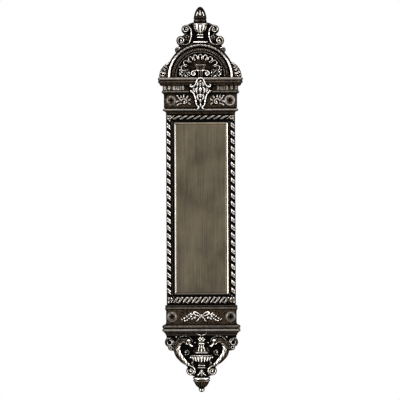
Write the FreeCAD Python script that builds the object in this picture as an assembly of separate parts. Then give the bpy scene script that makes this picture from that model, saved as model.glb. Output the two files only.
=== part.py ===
import FreeCAD, Part
import math
import os

Vector = FreeCAD.Vector

# Cast metal door finger plate: a plain push panel in a rope frame, a cornice with an arched crest
# above it, a base moulding with a carved pendant below it, and four countersunk screws.
# Sizes are in millimetres. x runs across the plate and z up it from the middle of the push panel.
# The door's face is y = 0 and the plate stands in front of it, so a height h above the door is y = -h.

# Push panel and rope frame
panel_width = 52.6
panel_height = 165.0
panel_bevel = 1.7
panel_rise = 1.9
frame_floor = 3.4
side_groove = 2.3
side_rope = 4.4
side_rope_pitch = 7.5
side_rope_slant = 125.0
top_groove = 2.3
top_rope = 4.4
top_rope_pitch = 6.4
top_rope_slant = 32.0
top_margin = 1.2
bottom_groove = 1.6
bottom_rope = 6.6
bottom_rope_pitch = 4.4
bottom_rope_slant = 58.0
bottom_margin = 1.7
rope_rise = 2.6
rope_gap = 0.25
corner_leaf = 6.0

# Cornice above the panel and base moulding below it
frieze_depth = 6.6
frieze_height = 14.0
frieze_projection = 1.9
necking_cove = 2.5
necking_bead = 1.1
necking_quirk = 1.0
cornice_hollow = 2.8
cornice_fillet = 2.0
tongue_band = 5.0
cornice_round = 2.9
cornice_lip = 1.2
cornice_groove = 1.0
cornice_top_fillet = 2.4
cornice_overhang = 5.5
base_frieze_projection = 0.6
base_top_fillet = 2.85
base_top_hollow = 2.3
base_hollow = 3.4
base_lip = 2.3
base_groove = 1.1
base_foot_hollow = 2.9
base_foot = 0.8
base_overhang = 3.6
tongue_count = 5
tongue_pitch = 4.35
tongue_margin = 0.9
tongue_width = 2.6
tongue_height = 4.2
tongue_relief = 1.1

# Shield in the middle of the cornice, leaning out from the frieze to the cornice
shield_height = 30.8
shield_foot_rise = 2.0
shield_lean = 7.4
shield_ear = 10.4
shield_rim_rise = 1.0

# Arched crest above the cornice
blank_depth = 4.0
arch_base = 1.2
arch_setback = 2.4
arch_fillet = 1.3
arch_roll = 2.9
arch_quirk = 1.0
arch_band = 2.5
arch_bead = 1.0
arch_rise = 4.6
bracket_radius = 14.7
bracket_setback = 0.9
shell_focus = 5.8
shell_height = 15.8
shell_half_width = 19.4
shell_petals = 9
shell_spread = 164.0
shell_inner = 6.6
shell_rise = 2.4
petal_rim = 0.8
petal_recess = 1.4
crest_rise = 34.6
finial_height = 15.0
finial_radius = 6.3
crest_bowl_radius = 8.2
crest_bowl_height = 9.6
crest_stem_radius = 3.6
crest_foot_radius = 6.8
crest_axis_depth = 1.6
crest_flutes = 5
upper_scroll_radius = 4.3
lower_scroll_radius = 4.6
third_scroll_radius = 2.7
scroll_width = 1.7
scroll_rise = 3.2

# Carved pendant below the base moulding
pendant_height = 54.6
side_volute_inset = 3.3
side_volute_radius = 4.7
side_curl_radius = 2.7
low_volute_radius = 4.3
small_volute_radius = 2.6
body_radius = 3.1
body_axis_depth = 4.9
urn_bowl_radius = 11.9
urn_bowl_axis_depth = 0.6
urn_bowl_flatten = 0.78
urn_axis_depth = 1.8
urn_gadroons = 7
drop_radius = 8.2
drop_ball_radius = 2.9

# Fixing screws and their holes
hole_edge = 5.6
screw_hole_radius = 2.5
screw_head_radius = 4.0
screw_head_angle = 82.0
screw_dome = 1.1
screw_length = 25.4
screw_shank_radius = 2.08
screw_thread_radius = 1.9
screw_tip = 4.5
screw_crown_radius = 2.6
screw_seat_clearance = 0.04
driver_slot_width = 1.15
driver_slot_length = 4.6
driver_slot_depth = 1.7

# Levels and widths that follow from the sizes above
bury = 0.8
frame_half_width = panel_width / 2 + side_groove + side_rope
frieze_half_width = frame_half_width + frieze_projection
base_half_width = frame_half_width + base_frieze_projection
panel_top = panel_height / 2
top_rope_z = panel_top + top_groove + top_rope / 2
bottom_rope_z = -panel_top - bottom_groove - bottom_rope / 2
frame_top = top_rope_z + top_rope / 2 + top_margin
frame_bottom = bottom_rope_z - bottom_rope / 2 - bottom_margin
frieze_bottom = frame_top + necking_cove + 2 * necking_bead + necking_quirk
frieze_top = frieze_bottom + frieze_height
tongue_low = frieze_top + cornice_fillet
lip_z = tongue_low + tongue_band + cornice_round
cornice_top = lip_z + cornice_lip + cornice_groove + cornice_top_fillet
base_frieze_top = frame_bottom - base_top_fillet - bottom_margin / 2
base_frieze_bottom = base_frieze_top - frieze_height
base_lip_z = base_frieze_bottom - base_lip / 2
base_bottom = base_lip_z - 2 * base_lip - base_groove - base_foot_hollow - base_foot
hole_x = base_half_width - hole_edge
hole_levels = [(frieze_bottom + frieze_top) / 2, (base_frieze_top + base_frieze_bottom) / 2]
arch_radius = frieze_half_width - arch_setback
arch_z = cornice_top + arch_base
arch_top = arch_z + arch_radius
crest_top = arch_top + crest_rise
tip_z = base_bottom - pendant_height
rope_crown = frame_floor + rope_rise
scroll_crown = blank_depth + scroll_rise


def at(x, h, z):
    return Vector(x, -h, z)


def forward(h):
    return Vector(0, -h, 0)


def mirrored(shapes):
    return shapes + [s.mirror(Vector(0, 0, 0), Vector(1, 0, 0)) for s in shapes]


def polygon_face(points, h):
    corners = [at(x, h, z) for x, z in points]
    return Part.Face(Part.makePolygon(corners + corners[:1]))


def disc_face(x, z, radius):
    return Part.Face(Part.Wire(Part.makeCircle(radius, at(x, 0, z), Vector(0, -1, 0))))


# Corners of a small round outline
def round_points(x, z, radius, sides):
    turns = [2 * math.pi * i / sides for i in range(sides)]
    return [(x + radius * math.cos(a), z + radius * math.sin(a)) for a in turns]


def raised(points, low, high):
    return polygon_face(points, low).extrude(forward(high - low))


def symmetric(right):
    return right + [(-x, z) for x, z in reversed(right) if x > 0]


# The blank behind the carving, from overlapping outlines
def raised_together(faces):
    solids = [f.extrude(forward(blank_depth)) for f in faces]
    return [solids[0].multiFuse(solids[1:]).removeSplitter()]


# A flat-faced solid skinned over matching rings of points
def skin(rings):
    faces = []
    for low, high in zip(rings, rings[1:]):
        for i in range(len(low)):
            j = (i + 1) % len(low)
            a, b, c, d = low[i], low[j], high[j], high[i]
            twist = (b - a).cross(c - a).dot(d - a)
            loops = [[a, b, c, d]] if abs(twist) < 1e-7 else [[a, b, c], [a, c, d]]
            faces += [Part.Face(Part.makePolygon(loop + loop[:1])) for loop in loops]
    faces += [Part.Face(Part.makePolygon(ring + ring[:1])) for ring in (rings[0], rings[-1])]
    solid = Part.Solid(Part.Shell(faces))
    if solid.Volume < 0:
        solid.reverse()
    return solid


# A solid turned about an upright axis in front of the door, from (radius, z) points, flat at the back
def turned(points, axis_depth, flatten=1.0, facets=8):
    rings = []
    for r, z in points:
        ring = [at(r, 0, z)]
        for i in range(facets + 1):
            a = math.pi * i / facets
            ring.append(at(r * math.cos(a), axis_depth + flatten * r * math.sin(a), z))
        rings.append(ring + [at(-r, 0, z)])
    return skin(rings)


# A ring of corners round a point, square to a direction
def ring_round(centre, direction, radius, sides):
    side = direction.cross(Vector(0, 1, 0)).normalize()
    up = side.cross(direction).normalize()
    turns = [2 * math.pi * (i + 0.5) / sides for i in range(sides)]
    return [centre + side * (radius * math.cos(a)) + up * (radius * math.sin(a)) for a in turns]


# A small tapering boss
def bead(x, z, radius, low, high):
    levels = ((radius, low), (radius * 0.5, high))
    return skin([[at(px, h, pz) for px, pz in round_points(x, z, r, 8)] for r, h in levels])


# A carved leaf: a long pyramid on a lozenge, pointing along the angle from the x axis
def leaf(x, z, length, width, angle, low, high):
    a = math.radians(angle)
    along, across = Vector(math.cos(a), 0, math.sin(a)), Vector(-math.sin(a), 0, math.cos(a))
    root = at(x, low, z)
    belly = root + along * (length * 0.45)
    ring = [root, belly - across * (width / 2), root + along * length, belly + across * (width / 2)]
    crown = belly + forward(high - low)
    faces = [Part.Face(Part.makePolygon([ring[i], ring[(i + 1) % 4], crown, ring[i]])) for i in range(4)]
    faces.append(Part.Face(Part.makePolygon(ring + ring[:1])))
    return Part.Solid(Part.Shell(faces))


# Points of a spiral, from the start angle and radius to the end ones, angles from the x axis
def spiral(centre, start_angle, end_angle, start_radius, end_radius, steps):
    points = []
    for i in range(steps + 1):
        a = math.radians(start_angle + (end_angle - start_angle) * i / steps)
        r = start_radius + (end_radius - start_radius) * i / steps
        points.append((centre[0] + r * math.cos(a), centre[1] + r * math.sin(a)))
    return points


# A carved ridge with a roof section along a path of (x, z) points, mitred at each point
def ridge(points, width, low, high):
    path = [at(x, 0, z) for x, z in points]
    steps = [(q - p).normalize() for p, q in zip(path, path[1:])]
    rings = []
    for i, p in enumerate(path):
        before, after = steps[max(i - 1, 0)], steps[min(i, len(steps) - 1)]
        normal = (before + after).cross(Vector(0, 1, 0))
        edge = normal * (width / 2 / (1 + before.dot(after)))
        rings.append([p - edge + forward(low), p + edge + forward(low), p + forward(high)])
    return skin(rings)


# A moulding that returns round its ends: the same profile runs along the front and up both sides
def returned_moulding(profile, half_width):
    section = [at(0, frieze_depth + p, z) for p, z in profile]
    section += [at(0, 0, profile[-1][1]), at(0, 0, profile[0][1])]
    reach = max(p for p, z in profile) + bury
    run = 2 * (half_width + reach)
    front = Part.Face(Part.makePolygon(section + section[:1])).extrude(Vector(run, 0, 0))
    front.translate(Vector(-run / 2, 0, 0))
    ends = raised(symmetric([(half_width + p, z) for p, z in profile]), -bury, frieze_depth + reach)
    return front.common(ends)


# Points of a quarter curve between two profile points, setting off along z or along the projection
def quarter(start, end, along_z, steps=3):
    points = []
    for i in range(1, steps + 1):
        a = math.radians(90.0 * i / steps)
        slow, fast = 1 - math.cos(a), math.sin(a)
        p_share, z_share = (slow, fast) if along_z else (fast, slow)
        points.append((start[0] + (end[0] - start[0]) * p_share, start[1] + (end[1] - start[1]) * z_share))
    return points


def half_round(z, radius):
    turns = [math.radians(a) for a in range(30, 181, 30)]
    return [(radius * math.sin(a), z - radius * math.cos(a)) for a in turns]


def cornice():
    quirk = 0.4
    step = 0.5
    profile = [(-frieze_projection, frame_top)]
    profile += quarter(profile[-1], (0, frame_top + necking_cove), True)
    profile += half_round(frame_top + necking_cove + necking_bead, necking_bead)
    profile += [(-quirk, profile[-1][1]), (-quirk, frieze_bottom), (0, frieze_bottom)]
    profile += [(0, frieze_top - cornice_hollow)]
    profile += quarter(profile[-1], (3 * step, frieze_top), True)
    profile += [(4 * step, frieze_top), (4 * step, tongue_low), (3 * step, tongue_low)]
    profile += [(3 * step, tongue_low + tongue_band), (5 * step, tongue_low + tongue_band)]
    profile += quarter(profile[-1], (cornice_overhang - step, lip_z), False)
    groove_low = lip_z + cornice_lip
    groove_high = groove_low + cornice_groove
    profile += [(cornice_overhang, lip_z), (cornice_overhang, groove_low)]
    profile += [(cornice_overhang - step, groove_low + quirk)]
    profile += [(cornice_overhang - step, groove_high - quirk)]
    profile += [(cornice_overhang, groove_high), (cornice_overhang, cornice_top - step)]
    profile += [(cornice_overhang - step, cornice_top)]
    return returned_moulding(profile, frieze_half_width)


def base_moulding():
    quirk = 0.4
    step = 0.5
    groove_low = base_lip_z - base_lip - base_groove
    profile = [(step, base_bottom), (step, base_bottom + base_foot)]
    profile += quarter(profile[-1], (base_overhang - step, groove_low - base_lip), True)
    profile += [(base_overhang, groove_low - base_lip), (base_overhang, groove_low)]
    profile += [(base_overhang - 2 * step, groove_low + quirk)]
    profile += [(base_overhang - 2 * step, groove_low + base_groove - quirk)]
    profile += [(base_overhang, groove_low + base_groove), (base_overhang, base_lip_z - step)]
    profile += [(base_overhang - step, base_lip_z), (base_overhang / 2, base_lip_z + quirk)]
    profile += quarter(profile[-1], (0, base_lip_z + base_hollow), False)
    profile += [(0, base_frieze_top - base_top_hollow)]
    profile += quarter(profile[-1], (2 * step, base_frieze_top), True)
    profile += [(step, base_frieze_top + quirk), (2 * step, base_frieze_top + 2 * quirk)]
    profile += [(2 * step, frame_bottom)]
    return returned_moulding(profile, base_half_width)


def tongues():
    made = []
    foot = frieze_depth + tongue_relief
    low = tongue_low + (tongue_band - tongue_height) / 2
    half = tongue_width / 2
    section = [(half, foot - bury), (half, foot), (half / 2, foot + tongue_relief)]
    section += [(-dx, h) for dx, h in reversed(section)]
    for i in range(tongue_count):
        x = frieze_half_width - tongue_margin - i * tongue_pitch
        made.append(skin([[at(x + dx, h, z) for dx, h in section] for z in (low, low + tongue_height)]))
    return mirrored(made)


def frame_blank():
    corners = [(frame_half_width, frame_top + bury), (frame_half_width, frame_bottom - bury)]
    return raised(symmetric(corners), 0, frame_floor)


def push_panel():
    def ring(inset, h):
        half, top = panel_width / 2 - inset, panel_top - inset
        corners = [at(half, h, top), at(-half, h, top), at(-half, h, -top), at(half, h, -top)]
        return Part.makePolygon(corners + corners[:1])

    spread = bury * panel_bevel / panel_rise
    foot, crown = ring(-spread, frame_floor - bury), ring(panel_bevel, frame_floor + panel_rise)
    return Part.makeLoft([foot, crown], True, True)


# A run of rope: slanting strands, each narrowing to its crown along its length and across the run
def rope_run(x, z, along, length, width, pitch, slant):
    count = max(1, round(length / pitch))
    step = length / count
    lay = Vector(math.cos(math.radians(slant)), 0, math.sin(math.radians(slant)))
    half_strand = step * abs(lay.cross(along).y) / 2 - rope_gap
    reach = step + width

    def bar(direction, half, crown_half):
        side = direction.cross(Vector(0, 1, 0))
        low = frame_floor - bury
        spread = (half - crown_half) * bury / rope_rise
        section = [(half + spread, low), (crown_half, rope_crown)]
        section += [(-a, h) for a, h in reversed(section)]
        ends = [direction * -reach, direction * reach]
        return skin([[end + side * a + forward(h) for a, h in section] for end in ends])

    strand = bar(lay, half_strand, half_strand * 0.45).common(bar(along, width / 2, width * 0.3))
    made = []
    for i in range(count):
        copy = strand.copy()
        copy.translate(Vector(x, 0, z) + along * ((i + 0.5) * step - length / 2))
        made.append(copy)
    return made


def ropes():
    side_x = frame_half_width - side_rope / 2
    side_low, side_high = bottom_rope_z + bottom_rope / 2, top_rope_z - top_rope / 2
    side_mid, side_run = (side_low + side_high) / 2, side_high - side_low
    cross_run = 2 * (frame_half_width - corner_leaf)
    up, right = Vector(0, 0, 1), Vector(1, 0, 0)
    made = []
    for x in (-side_x, side_x):
        made += rope_run(x, side_mid, up, side_run, side_rope, side_rope_pitch, side_rope_slant)
    made += rope_run(0, top_rope_z, right, cross_run, top_rope, top_rope_pitch, top_rope_slant)
    made += rope_run(0, bottom_rope_z, right, cross_run, bottom_rope, bottom_rope_pitch, bottom_rope_slant)
    return made


def corner_leaves():
    made = []
    low = frame_floor - bury
    for z, size, tip in ((top_rope_z, top_rope, 25), (bottom_rope_z, bottom_rope, -25)):
        x = frame_half_width - corner_leaf
        made.append(leaf(x, z, corner_leaf, size * 0.8, tip, low, rope_crown))
        made.append(leaf(x, z, corner_leaf * 0.9, size * 0.8, -tip, low, rope_crown))
    return mirrored(made)


# Shield: a waisted plate with a raised rim and a leaf drop, built upright and then leaned out
def shield():
    foot_z = frieze_bottom - shield_foot_rise
    crown = frieze_depth + shield_foot_rise
    top = shield_height
    ear = shield_ear
    outline = [(0, top), (3.2, top - 0.6), (5.0, top - 5.4), (ear, top - 7.6), (ear * 0.84, top - 10.8)]
    outline += [(ear, top - 13.6), (ear * 0.72, top - 14.8), (5.4, top - 20.6), (4.6, top - 26.4)]
    outline += [(2.5, top - 28.6), (4.0, 0)]
    plate = raised(symmetric([(x, foot_z + z) for x, z in outline]), bury, crown)
    rim = [(0, top - 0.8), (2.7, top - 1.6), (4.3, top - 5.4), (6.6, top - 8.6), (ear - 1.4, top - 8.8)]
    low_rim = [(ear - 1.4, top - 13.4), (7.0, top - 15.2), (4.8, top - 20.6)]
    low_rim += [(4.0, top - 26.0), (2.0, top - 28.8)]
    low, high = crown - bury, crown + shield_rim_rise
    rims = [ridge([(x, foot_z + z) for x, z in path], 1.5, low, high) for path in (rim, low_rim)]
    leaves = [leaf(0.4, foot_z + top - 3.0, 5.4, 1.8, -58, low, high)]
    leaves += [leaf(1.6, foot_z + top - 10.6, 9.0, 2.0, -82, low, high)]
    leaves += [leaf(4.6, foot_z + top - 11.4, 5.2, 1.8, -105, low, high)]
    leaves += [leaf(1.6, foot_z + top - 20.0, 5.6, 1.8, -105, low, high)]
    drop = [leaf(0, foot_z + top - 5.6, 7.0, 2.2, -90, low, high)]
    drop += [leaf(0, foot_z + top - 19.0, 9.0, 2.4, -90, low, high)]
    shapes = [plate] + mirrored(rims + leaves) + drop
    for s in shapes:
        s.rotate(at(0, crown, foot_z), Vector(1, 0, 0), shield_lean)
    return shapes


# Leaf scroll carved on each side of the upper frieze
def frieze_scrolls():
    low, high = frieze_depth - bury, frieze_depth + 1.3
    eye_x, eye_z = hole_x - 12.6, hole_levels[0] - 1.5
    path = spiral((eye_x, eye_z), 300, 20, 1.4, 3.4, 7)
    path += [(eye_x + 5.4, eye_z + 3.6), (eye_x + 6.4, eye_z + 6.4)]
    made = [ridge(path, 1.3, low, high)]
    leaves = [(-2.6, 2.6, 5.0, 95), (0.6, 3.4, 4.6, 62), (-2.8, -1.2, 4.0, 205), (3.0, -2.6, 4.6, -25)]
    for dx, dz, length, angle in leaves:
        made.append(leaf(eye_x + dx, eye_z + dz, length, 2.2, angle, low, high))
    return mirrored(made)


# Ribbon bow with two leafy swags on the lower frieze
def garland():
    low, high = frieze_depth - bury, frieze_depth + 1.4
    z = hole_levels[1]
    loop = [(0.6, z + 1.6), (3.4, z + 4.2), (6.6, z + 4.0), (5.4, z + 1.4), (1.6, z + 0.6)]
    made = [ridge(loop, 1.2, low, high)]
    made.append(leaf(0.4, z + 0.4, 6.0, 1.8, -55, low, high))
    leaves = [(5.6, 0.6, 4.6, -35), (7.4, 2.8, 4.6, 20), (9.6, -1.2, 4.8, -50)]
    leaves += [(10.2, 1.6, 4.6, 30), (12.6, -1.2, 4.6, -15), (14.6, -2.8, 4.6, -8)]
    for dx, dz, length, angle in leaves:
        made.append(leaf(dx, z + dz, length, 2.4, angle, low, high))
    return mirrored(made) + [bead(0, z + 1.2, 1.4, low, high)]


def crest_blank():
    bracket_x = frieze_half_width + cornice_overhang - bracket_setback - bracket_radius
    upper, lower, third = crest_scroll_eyes()
    core = [(0, crest_top - finial_height / 2), (finial_radius * 0.9, crest_top - finial_height)]
    core += [(upper[0] - 1.4, upper[1] + upper_scroll_radius * 0.96), (upper[0] + 1.6, upper[1] - 3.4)]
    core += [(lower[0], lower[1] + 3.0), (third[0], third[1])]
    faces = [disc_face(0, arch_z, arch_radius), polygon_face(symmetric(core), 0)]
    scrolls = ((upper, upper_scroll_radius), (lower, lower_scroll_radius), (third, third_scroll_radius))
    for side in (-1, 1):
        faces.append(disc_face(side * bracket_x, arch_z, bracket_radius))
        faces += [polygon_face(round_points(side * x, z, r, 16), 0) for (x, z), r in scrolls]
    return raised_together(faces)


def crest_scroll_eyes():
    return (13.6, arch_top + 12.6), (18.2, arch_top + 1.9), (21.6, arch_top - 7.0)


def crest_scrolls():
    upper, lower, third = crest_scroll_eyes()
    low = blank_depth - bury
    inset = scroll_width / 2
    path = spiral(lower, 300, -100, 1.5, lower_scroll_radius - inset, 9)
    path += [(10.4, lower[1] - 2.4), (8.6, lower[1] + 3.4), (8.8, upper[1] - 1.6)]
    path += spiral(upper, 130, -250, upper_scroll_radius - inset, 1.2, 9)
    small = [(lower[0] - 1.0, lower[1] - 6.6)] + spiral(third, 90, -190, third_scroll_radius - 0.7, 0.9, 6)
    made = [ridge(path, scroll_width, low, scroll_crown), ridge(small, 1.4, low, scroll_crown - 1.0)]
    made.append(bead(lower[0], lower[1], 1.3, low, scroll_crown))
    made.append(bead(upper[0], upper[1], 1.1, low, scroll_crown))
    for dx, dz, length, angle in ((-3.0, 2.2, 5.4, 95), (-5.0, -3.4, 5.0, 120), (-2.6, 5.4, 4.8, 75)):
        made.append(leaf(lower[0] + dx, lower[1] + dz, length, 2.6, angle, low, scroll_crown - 0.6))
    return mirrored(made)


# Arch: fillet, roll, quirk, band and bead turned round the tympanum
def arch():
    crown = blank_depth + arch_rise
    middle = blank_depth + arch_rise * 0.5
    shelf = blank_depth + arch_rise * 0.3
    edge = arch_radius - arch_fillet
    band_out = edge - arch_roll - arch_quirk
    band_in = band_out - arch_band
    bead_out = band_in - arch_quirk * 0.8
    bead_in = bead_out - arch_bead
    profile = [(arch_radius, bury), (arch_radius, middle), (edge, middle)]
    for a in range(0, 181, 45):
        turn = math.radians(a)
        radius = edge - arch_roll / 2 * (1 - math.cos(turn))
        profile.append((radius, shelf + (crown - shelf) * math.sin(turn)))
    profile += [(band_out, shelf), (band_out, crown - arch_quirk), (band_in, crown - 2 * arch_quirk)]
    profile += [(band_in, shelf), (bead_out, shelf), (bead_out, middle), (bead_in, middle), (bead_in, bury)]
    corners = [at(r, h, arch_z) for r, h in profile]
    ring = Part.Face(Part.makePolygon(corners + corners[:1]))
    return ring.revolve(at(0, 0, arch_z), Vector(0, -1, 0), 180)


# One round-ended petal of the shell along the x axis, from its root to its reach
def petal(root, reach, half_angle, inset, low, high):
    slope = math.tan(math.radians(half_angle))
    half_tip = reach * slope / (1 + slope) - inset
    half_root = root * slope - inset / 2
    centre = reach - inset - half_tip
    turns = [math.radians(a) for a in range(-90, 91, 45)]
    outline = [(centre + half_tip * math.cos(a), half_tip * math.sin(a)) for a in turns]
    return raised(outline + [(root + inset, half_root), (root + inset, -half_root)], low, high)


def shell():
    made = []
    step = shell_spread / (shell_petals - 1)
    low, high = blank_depth - bury, blank_depth + shell_rise
    for i in range(shell_petals):
        angle = 90 - shell_spread / 2 + i * step
        a = math.radians(angle)
        reach = 1 / math.hypot(math.cos(a) / shell_half_width, math.sin(a) / shell_height)
        lobe = petal(shell_inner, reach, step / 2, petal_rim * 0.2, low, high)
        lobe = lobe.cut(petal(shell_inner, reach, step / 2, petal_rim, high - petal_recess, high + bury))
        lobe.rotate(Vector(0, 0, 0), Vector(0, -1, 0), angle)
        lobe.translate(Vector(0, 0, arch_z + shell_focus))
        made.append(lobe)
    return made


# Fluted basket at the shell's root, on a short baluster between two curled volutes
def shell_basket():
    low, high = blank_depth - bury, blank_depth + shell_rise + 1.2
    root = arch_z + shell_focus
    made = [raised(symmetric([(5.6, root + 5.5), (2.6, root)]), low, high)]
    for i in (-1, 0, 1):
        made.append(leaf(i * 1.5, root + 0.2, 5.4, 1.9, 90 - i * 18, high - bury, high + bury))
        made.append(ridge([(i * 1.6, arch_z - bury), (i * 1.6, root + bury)], 1.6, low, high))
    path = spiral((6.6, arch_z + 2.6), -250, 110, 1.1, 2.5, 8) + [(3.4, root + 0.6)]
    made += mirrored([ridge(path, 1.3, low, high)])
    return made


def tympanum_leaves():
    low, high = blank_depth - bury, blank_depth + shell_rise * 0.8
    made = []
    leaves = [(9.6, 1.2, 5.6, 40), (12.4, 1.0, 5.4, 15), (12.2, 4.6, 5.4, 40), (16.4, 1.2, 5.0, 50)]
    for x, z, length, angle in leaves:
        made.append(leaf(x, arch_z + z, length, 2.4, angle, low, high))
    return mirrored(made)


def bracket_leaves():
    low, high = blank_depth - bury, blank_depth + 3.2
    made = []
    edge = frieze_half_width + cornice_overhang - bracket_setback
    leaves = [(6.4, 0.2, 6.2, 8), (6.6, 2.8, 6.0, 32), (6.4, 5.8, 5.4, 48), (6.4, 9.0, 4.2, 62)]
    for dx, dz, length, angle in leaves:
        made.append(leaf(edge - dx, arch_z + dz, length, 2.8, angle, low, high))
    made.append(bead(edge - 7.2, arch_z + 12.4, 1.3, low, high))
    return mirrored(made)


# Lobes standing on a turned bowl, each a tapering rod from its rim to its foot
def bowl_lobes(count, spread, axis_depth, flatten, rim, foot, rim_size, foot_size):
    made = []
    for i in range(count):
        a = math.radians(spread * (i / (count - 1) - 0.5))
        top = at(rim[0] * math.sin(a), axis_depth + flatten * rim[0] * math.cos(a), rim[1])
        end = at(foot[0] * math.sin(a), axis_depth + flatten * foot[0] * math.cos(a), foot[1])
        run = end - top
        made.append(skin([ring_round(top, run, rim_size, 6), ring_round(end, run, foot_size, 6)]))
    return made


def crest_urn():
    shoulder = crest_top - finial_height
    egg_low = 4.6
    egg = []
    for t in (0.31, 0.5, 0.65, 0.78, 0.88, 0.96, 0.995):
        egg.append((finial_radius * (1 - t ** 2.2) ** 0.6, shoulder + t * finial_height))
    r = finial_radius
    bands = [(r - 0.5, shoulder + egg_low), (r, shoulder + 4.2), (r, shoulder + 3.4)]
    bands += [(r - 0.5, shoulder + 3.0), (r - 0.5, shoulder + 1.9), (r, shoulder + 1.5)]
    bands += [(r, shoulder + 0.4), (r - 1.4, shoulder)]
    bowl_top = shoulder - 1.6
    bowl_low = bowl_top - crest_bowl_height
    bowl = [(r - 1.6, bowl_top + 0.2), (crest_bowl_radius, bowl_top), (crest_bowl_radius, bowl_top - 1.2)]
    bowl += [(crest_bowl_radius * 0.86, bowl_top - 4.6), (crest_stem_radius - 0.8, bowl_low)]
    stem = []
    for level in (0.3, 2.8):
        stem += [(crest_stem_radius, bowl_low - level), (crest_stem_radius, bowl_low - level - 1.1)]
        stem += [(crest_stem_radius - 0.8, bowl_low - level - 1.6)]
    foot = [(crest_foot_radius * 0.7, arch_top + 1.2), (crest_foot_radius, arch_top + 0.8)]
    foot += [(crest_foot_radius, arch_top - 0.8)]
    made = [turned(list(reversed(egg)) + bands + bowl + stem + foot, crest_axis_depth)]
    rim, end = (crest_bowl_radius * 0.96, bowl_top - 1.0), (crest_stem_radius * 0.9, bowl_low + 0.6)
    made += bowl_lobes(crest_flutes, 130, crest_axis_depth, 1.0, rim, end, 1.4, 0.8)
    front = crest_axis_depth + finial_radius
    for i in (-1, 0, 1):
        tip = front - abs(i)
        made.append(leaf(i * 3.1, shoulder + egg_low, 6.6, 3.2, 90 + i * 14, tip - 2.2, tip))
    return made


def pendant_eyes():
    side = (base_half_width - side_volute_inset, base_bottom - 7.0)
    curl = (side[0] - 1.0, side[1] - 5.2)
    return side, curl, (14.1, base_bottom - 16.3), (10.3, base_bottom - 34.4)


def pendant_blank():
    side, curl, small, low = pendant_eyes()
    right = [(base_half_width, base_bottom + bury), (base_half_width, side[1] + 4.6)]
    flank = [(27.0, 13.8), (25.4, 18.6), (22.9, 22.5), (19.0, 26.3), (14.0, 29.6), (drop_radius, 39.6)]
    for x, drop in flank:
        right.append((x, base_bottom - drop))
    faces = [polygon_face(symmetric(right), 0)]
    curls = ((side, side_volute_radius), (curl, side_curl_radius), (low, low_volute_radius))
    for sign in (-1, 1):
        faces += [polygon_face(round_points(sign * x, z, r, 16), 0) for (x, z), r in curls]
    return raised_together(faces)


def pendant_volutes():
    side, curl, small, low = pendant_eyes()
    foot = blank_depth - bury
    inset = scroll_width / 2
    tail = [(side[0] - 3.4, side[1] - 5.0), (side[0] - 5.0, side[1] - 7.2)]
    coil = spiral(side, 320, -110, 1.3, side_volute_radius - inset, 10)
    made = [ridge(coil + tail, scroll_width, foot, scroll_crown - 0.4)]
    made.append(bead(side[0], side[1], 1.2, foot, scroll_crown))
    made.append(bead(curl[0], curl[1], side_curl_radius * 0.8, foot, scroll_crown - 0.8))
    coil = spiral(small, -60, 260, 1.0, small_volute_radius - 0.6, 7)
    made.append(ridge(coil, 1.1, foot, scroll_crown - 0.6))
    roll = [(low[0] + 3.4, low[1] + 4.6)] + spiral(low, 30, -330, low_volute_radius - 0.8, 1.3, 9)
    made.append(ridge(roll, scroll_width, foot, scroll_crown))
    made.append(bead(low[0], low[1], 1.2, foot, scroll_crown))
    brow = [(8.8, -6.4), (10.4, -3.2), (14.6, -1.7), (19.4, -2.2), (22.8, -4.8)]
    made.append(ridge([(x, base_bottom + z) for x, z in brow], 1.0, foot, scroll_crown - 1.4))
    return mirrored(made)


# Dolphins: beak, head and a tapering body that arches out and curls in to the low volute
def dolphins():
    spine = [(9.6, -10.8, 0.25), (11.4, -8.9, 0.55), (13.2, -7.2, 1.0), (15.0, -6.2, 0.95)]
    spine += [(17.6, -5.6, 0.9), (20.8, -6.8, 1.0), (23.0, -10.0, 1.0), (23.5, -14.2, 1.0)]
    spine += [(21.8, -18.9, 0.9), (17.8, -24.1, 0.75), (13.2, -29.0, 0.55)]
    path = [at(x, body_axis_depth, base_bottom + z) for x, z, share in spine]
    rings = []
    for i, (x, z, share) in enumerate(spine):
        run = path[min(i + 1, len(path) - 1)] - path[max(i - 1, 0)]
        rings.append(ring_round(path[i], run, body_radius * share, 8))
    made = [skin(rings)]
    crown = body_axis_depth + body_radius + 0.5
    fins = [(20.6, -9.6, 6.6, -62), (24.2, -12.6, 6.4, -95)]
    fins += [(21.2, -16.4, 7.0, -110), (18.0, -21.4, 6.6, -128)]
    for x, z, length, angle in fins:
        made.append(leaf(x, base_bottom + z, length, 2.8, angle, blank_depth, crown))
    made.append(bead(spine[2][0] + 0.3, path[2].z - 0.6, 1.0, body_axis_depth, crown + 0.3))
    return mirrored(made)


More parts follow.
